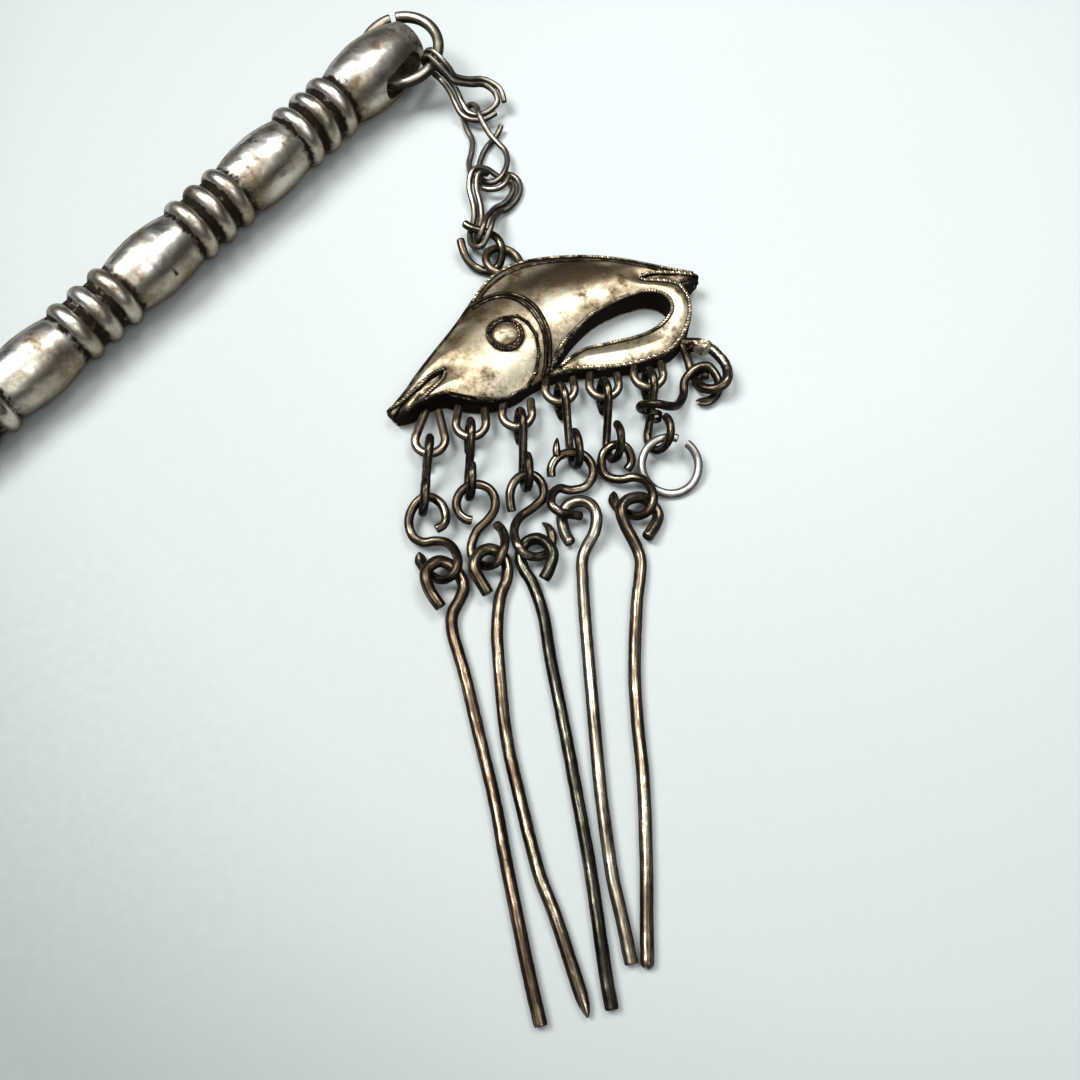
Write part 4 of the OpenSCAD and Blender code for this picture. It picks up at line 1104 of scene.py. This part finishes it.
def rope(name, points, worn, sink=-0.14, finish=TRIM):
    """A twisted wire on the fish: painted highlights on its crests, painted shade between its
    strands.
    """
    path = on_fish(points, sink)
    twisted, faces = twisted_wire(path, ROPE_R, PITCH)
    flank = nearest(twisted, path)
    rise = (twisted[:, 2] - fish_height(twisted) + sink) / ROPE_R
    # Painted highlight on the upper crests, painted shade elsewhere; worn sets how much of the crests
    # is bright
    bright_crest = np.clip((flank / ROPE_R - 0.62) / 0.3, 0, 1) * np.clip(rise / 0.5, 0, 1)
    bright_crest = bright_crest * np.clip(worn + 0.3 * lumps(twisted, 2.4, 71), 0, 1)
    pendant_piece(name, twisted, faces, finish, dirt=1.1 - 1.1 * bright_crest, polish=bright_crest)


def trim_wire(name, path, radius, **form):
    """A thin dark wire soldered on."""
    sides = 10
    points, faces, _ = wire_points(path, radius, sides, **form)
    # Tarnish all along the wire, and painted shade on its sides
    pendant_piece(name, points, faces, LINE, dirt=0.42 + 0.8 * side_shade_and_grime(points, sides))


def slab(name, outline, lift):
    """A strip of metal inside a slit: near the fish's surface, sunk along the slit's edges."""
    outline = anticlockwise(dense(outline))
    n, middle = len(outline), outline.mean(axis=0)
    shares = [1.0, 0.8, 0.55, 0.3]
    rings = [middle + (outline - middle) * share for share in shares]
    top = [np.column_stack([ring, fish_height(ring) + lift - 0.75 * share ** 4])
           for ring, share in zip(rings, shares)]
    crown = float(fish_height([middle])[0]) + lift
    points = np.concatenate(top + [np.column_stack([outline, np.zeros(n)]), [[*middle, crown]],
                                   [[*middle, 0]]])
    inner, foot = (len(shares) - 1) * n, len(shares) * n
    crown_at = foot + n
    faces = [(i + k, i + (k + 1) % n, i + n + (k + 1) % n, i + n + k)
             for i in range(0, inner, n) for k in range(n)]
    faces += [(inner + k, inner + (k + 1) % n, crown_at) for k in range(n)]
    faces += [(foot + k, foot + (k + 1) % n, (k + 1) % n, k) for k in range(n)]
    faces += [(foot + (k + 1) % n, foot + k, crown_at + 1) for k in range(n)]
    points[:foot, 2] += 0.08 * lumps(points[:foot], 0.8, 5)
    # Random tarnish, and darker towards the slit's edges
    dirt = np.clip(0.3 + 0.3 * lumps(points, 0.9, 6), 0, 1)
    off = np.linalg.norm(points[:, :2] - middle, axis=1)
    far = np.tile(np.linalg.norm(outline - middle, axis=1), len(shares) + 1)
    far = np.concatenate([far, [1, 1]])
    dirt = np.maximum(dirt, np.clip((off / far - 0.55) / 0.35, 0, 1))
    pendant_piece(name, points, faces, FISH, dirt=dirt)


def build_slits():
    """The strips of metal in the mouth and in the tail."""
    mouth_end, tail_end = [[-17.9, 16.2], [-17.3, 15.8]], [[20.3, 36.1], [19.9, 35.5]]
    lift = 0.14
    slab("mouth_floor", np.array(mouth_slot[:4] + mouth_end + mouth_slot[5:]), lift)
    slab("tail_floor", np.array(tail_slot[:3] + tail_end + tail_slot[4:]), lift)


def build_trim():
    """Twisted and plain wires along the fish's edges, gill, back and face."""
    for name, points, worn in (("back_rope", back_rope, 0.6), ("opening_rope", opening_rope, 0.65),
                               ("fin_rope", fin_rope, 0.85), ("jaw_rope_upper", jaw_upper, 0.6),
                               ("jaw_rope_lower", jaw_lower, 0.6)):
        rope(name, points, worn)
    rope("eye_rope", eye_spiral, 0.55, sink=-0.12, finish=LINE)
    trim_wire("gill_wire_outer", gill_outer + [0, 0, 0.1], GILL_OUTER_R, seed=72)
    trim_wire("gill_wire_inner", gill_inner + [0, 0, 0.08], GILL_INNER_R, seed=73)
    trim_wire("back_wire", on_fish(back_line, -0.06), THIN_LINE_R, seed=74)
    trim_wire("face_wire", on_fish(face_line, -0.02), THIN_LINE_R, seed=75)


def build_eye():
    """The eye's dome, a low cap with a soft foot."""
    around, levels = 48, 14
    foot_z = float(fish_height([EYE])[0]) - 0.1
    s = np.linspace(0, 1, levels, endpoint=False)
    rings = lathed(EYE_R * (1 - s), EYE_RISE * np.sqrt(1 - (1 - s) ** 2.6), around)
    rings = rings.reshape(-1, 3) + [*EYE, foot_z]
    rings[:, 2] -= 0.01 * lumps(rings, 0.9, 81)
    points = np.concatenate([rings, [[*EYE, foot_z], [*EYE, foot_z + EYE_RISE]]])
    out = np.linalg.norm(points[:, :2] - EYE, axis=1) / EYE_R
    # Painted highlight on the dome's top and painted shade at its foot under the wire
    pendant_piece("eye_dome", points, tube_faces(levels, around), FISH,
                  dirt=np.clip((out - 0.84) * 5, 0, 0.9), polish=np.clip(0.8 - out, 0, 0.5))


# Soldered loops: x and y of the middle, length and inward lean of the legs
LOOP_R, LOOP_WIRE_R, LOOP_HEIGHT = 1.85, 0.58, 2.02
loops = [[-13.5, 12.5, 4.6, 14], [-8.55, 14.8, 3, 5], [-2.85, 16.2, 2.6, 5], [2.5, 19.75, 2.2, 5],
         [8.05, 20.4, 2.2, 4], [13.7, 21.9, 2.4, 4]]
LEG_SHORTER, LEG_DROP = 0.45, -0.55


def pendant_wire(name, path, radius, finish, **form):
    """A wire of the pendant."""
    wire(name, path, radius, finish, "pendant_silver", **form)


def build_loops():
    for i, (x, y, leg, lean) in enumerate(loops):
        legs = [turned([[hand * LOOP_R, leg - LEG_SHORTER, LEG_DROP]], ("z", hand * lean))
                for hand in (-1, 1)]
        bend = arc(LOOP_R, 180 - lean, 180 + 2 * lean, 40)
        path = np.concatenate([legs[0], bend, legs[1]]) + [x, y, LOOP_HEIGHT]
        pendant_wire(f"soldered_loop_{i + 1}", path, LOOP_WIRE_R, LOOP, seed=91 + i, wear=0.08)


# Loop at the back: its middle, radius, rise and the direction of its rise
TOP_LOOP_AT, TOP_LOOP_R, TOP_LOOP_RISE, TOP_LOOP_HIGH = np.array([-4.95, 39.85, 1.4]), 2.35, 17, 205
TOP_LOOP_START, TOP_LOOP_TURN = -40, 325
# Curled hook at the fin and the strap beside it
FIN_HOOK_R, STRAP_R = 0.7, 0.6
fin_hook = [[17.6, 27, 1.5], [19, 26.8, 1.8], [20.6, 26.4, 2.1], [22.3, 25, 2.3], [23.6, 22.8, 2.3],
            [23.4, 20.7, 2.4], [22, 19.8, 2.1], [20.7, 20.2, 1.5], [20, 21.4, 0.9],
            [20.5, 22.5, 0.75], [21.5, 22.7, 0.74]]
strap = [[17.9, 27.1, 1.7], [18.5, 26, 1.5], [19, 24.6, 1], [19.4, 23, 0.68], [19.9, 21.7, 0.68]]


def build_hooks():
    path = turned(arc(TOP_LOOP_R, TOP_LOOP_START - TOP_LOOP_HIGH, TOP_LOOP_TURN),
                  ("y", -TOP_LOOP_RISE), ("z", TOP_LOOP_HIGH)) + TOP_LOOP_AT
    pendant_wire("top_loop_wire", path, LINK_R, LOOP, seed=98)
    pendant_wire("fin_hook_wire", smooth(fin_hook), FIN_HOOK_R, LINK, seed=99, wear=0.12)
    pendant_wire("fin_strap", smooth(strap), STRAP_R, LINE_WIRE, seed=101, wear=0.15)


def blob(name, middle, size, finish, seed):
    """A lump of solder: a ball with swells and flats."""
    around, levels, uneven = 40, 22, 0.3
    s = math.pi * np.linspace(0.04, 0.96, levels)
    rings = lathed(np.sin(s), -np.cos(s), around)
    ball = np.concatenate([rings.reshape(-1, 3), [[0, 0, -1.0]], [[0, 0, 1.0]]])
    swell = 1 + uneven * (0.6 * lumps(ball, 1.3, seed) + 0.4 * lumps(ball, 0.6, seed + 1))
    ball = ball * np.clip(swell, 0.7, 1.12)[:, None] * size + middle
    dirt = np.clip(0.25 + 0.6 * lumps(ball, 0.7, seed + 2), 0, 0.9)
    pendant_piece(name, ball, tube_faces(levels, around), finish, sharp=30, dirt=dirt)


# Small ragged points at the snout and the tail
ragged_tips = [
    [[-17.6, 16.1, 2], [-17.7, 15.7, 1.9]], [[-16.2, 15.9, 2], [-16.1, 15.35, 1.8]],
    [[20.1, 35.6, 2.3], [20.3, 35, 2.1]], [[20.6, 35.9, 2.4], [20.75, 35.4, 2.3]]]


def build_solder_and_tips():
    blob("hook_solder", [20.75, 25.75, 2.3], [1.25, 0.95, 0.95], FISH, 111)
    blob("strap_solder", [19.3, 26.1, 1.9], [0.8, 0.75, 0.7], LINE, 121)
    for i, tip in enumerate(ragged_tips):
        trim_wire(f"ragged_point_{i + 1}", smooth(tip, 6), RAGGED_R, last_end="point",
                  seed=141 + i)


# Floor, light and camera, in metres

# Painted light on the floor: it is brightest here and darker all round, mostly towards the lower left
FLOOR_LIGHT_POOL = (0.07, 0.03, 0.0)
FLOOR_TONES = [(0.11, tone(207, 214, 213)), (0.39, tone(197, 203, 202)), (0.61, tone(189, 195, 194)),
               (0.72, tone(178, 184, 183)), (0.92, tone(146, 151, 150))]
FLOOR_SIZE, CORNER_FALL, FLOOR_REACH = 1.6, -0.3, (-0.02, 0.16)


def build_floor():
    p = Paint("floor_with_painted_light")
    grain = p.noise(900, 3.0, 0.6)
    far = p.add("ShaderNodeVectorMath", {0: p.place, 1: FLOOR_LIGHT_POOL}, operation="DISTANCE")
    across = p.add("ShaderNodeSeparateXYZ", {"Vector": p.place}).outputs
    fall = p.plus(far.outputs["Value"], p.plus(across[0], across[1]), CORNER_FALL)
    fall = p.plus(fall, p.uneven(p.noise(9, 2.0), 0.004))
    colour = p.ramp(p.range(fall, *FLOOR_REACH), FLOOR_TONES)
    colour = p.mix(p.range(grain, 0.3, 0.7, 0.0, 0.05), colour, tone(172, 180, 180))
    p.finish(colour, p.range(grain, 0.3, 0.7, 0.55, 0.7), p.bump(grain, 0.12, FLOOR_RELIEF))
    low = min(v[2] for v in cad_box)
    corners = [(x * FLOOR_SIZE, y * FLOOR_SIZE, low)
               for x, y in ((-1, -1), (1, -1), (1, 1), (-1, 1))]
    floor = plain_mesh("floor", corners, [(0, 1, 2, 3)])
    floor.data.materials.append(p.material)


# Lamps: place, the spot that they face, size and watts
LAMPS = {
    "key_light": [(-0.29, 0.11, 0.63), (0.02, 0, 0), 0.36, 5.0],
    "back_light": [(0.2, 0.2, 0.56), (0.03, 0, 0), 0.26, 1.3],
    "fill_light": [(0.3, -0.3, 0.6), (0.02, 0, 0), 0.3, 0.7]}
LAMP_COLOUR = (0.98, 1.0, 1.0)


def build_lamps():
    for name, (place, target, size, watts) in LAMPS.items():
        lamp = bpy.data.lights.new(name, "AREA")
        lamp.shape, lamp.size, lamp.energy, lamp.color = "DISK", size, watts, LAMP_COLOUR
        obj = linked(name, lamp)
        obj.location = place
        run = Vector(target) - Vector(place)
        obj.rotation_euler = run.to_track_quat("-Z", "Y").to_euler()


WORLD_STRENGTH = 0.42
# Brightness of the studio's walls and ceiling, from its dark far side to the near side
SKY = [(0.0, 0.03), (0.35, 0.05), (0.6, 0.15), (0.76, 0.5), (0.95, 1.5)]
SKY_TINT, SKY_LEAN = (1, 1.03, 1.04), (0.12, -0.36)


def build_world():
    world = bpy.data.worlds.new("studio")
    bpy.context.scene.world = world
    world.use_nodes = True
    p = Nodes(world.node_tree)
    place = p.add("ShaderNodeTexCoord").outputs["Generated"]
    way = p.add("ShaderNodeSeparateXYZ", {0: place}).outputs
    level = way[2]
    for axis, share in enumerate(SKY_LEAN):
        level = p.plus(level, way[axis], share)
    stops = [(at, tuple(light * tint for tint in SKY_TINT) + (1,)) for at, light in SKY]
    sky = p.tree.nodes["Background"]
    p.plug(sky.inputs[0], p.ramp(level, stops))
    p.plug(sky.inputs[1], WORLD_STRENGTH)


# The photo's camera: its place, how far it looks down, and its focal length in the photo's pixels
CAMERA_AT, LOOK_DOWN = (0.04758, -0.06219, 0.11488), 67
FOCAL, PHOTO_WIDTH, SENSOR = 1040, 1080, 36


def build_camera():
    lens = bpy.data.cameras.new("camera")
    lens.sensor_width, lens.lens, lens.clip_start = SENSOR, SENSOR * FOCAL / PHOTO_WIDTH, 0.005
    camera = linked("camera", lens)
    camera.location = CAMERA_AT
    camera.rotation_euler = (math.radians(90 - LOOK_DOWN), 0, 0)
    bpy.context.scene.camera = camera


for build in (build_stick, build_head_ring, build_chain, build_upper_links, build_link_ends,
              build_lower_links, build_split_ring, build_drops, build_fish, build_slits, build_trim,
              build_eye, build_loops, build_hooks, build_solder_and_tips, build_floor, build_world,
              build_lamps, build_camera):
    build()
bpy.context.scene.view_settings.view_transform = "Standard"
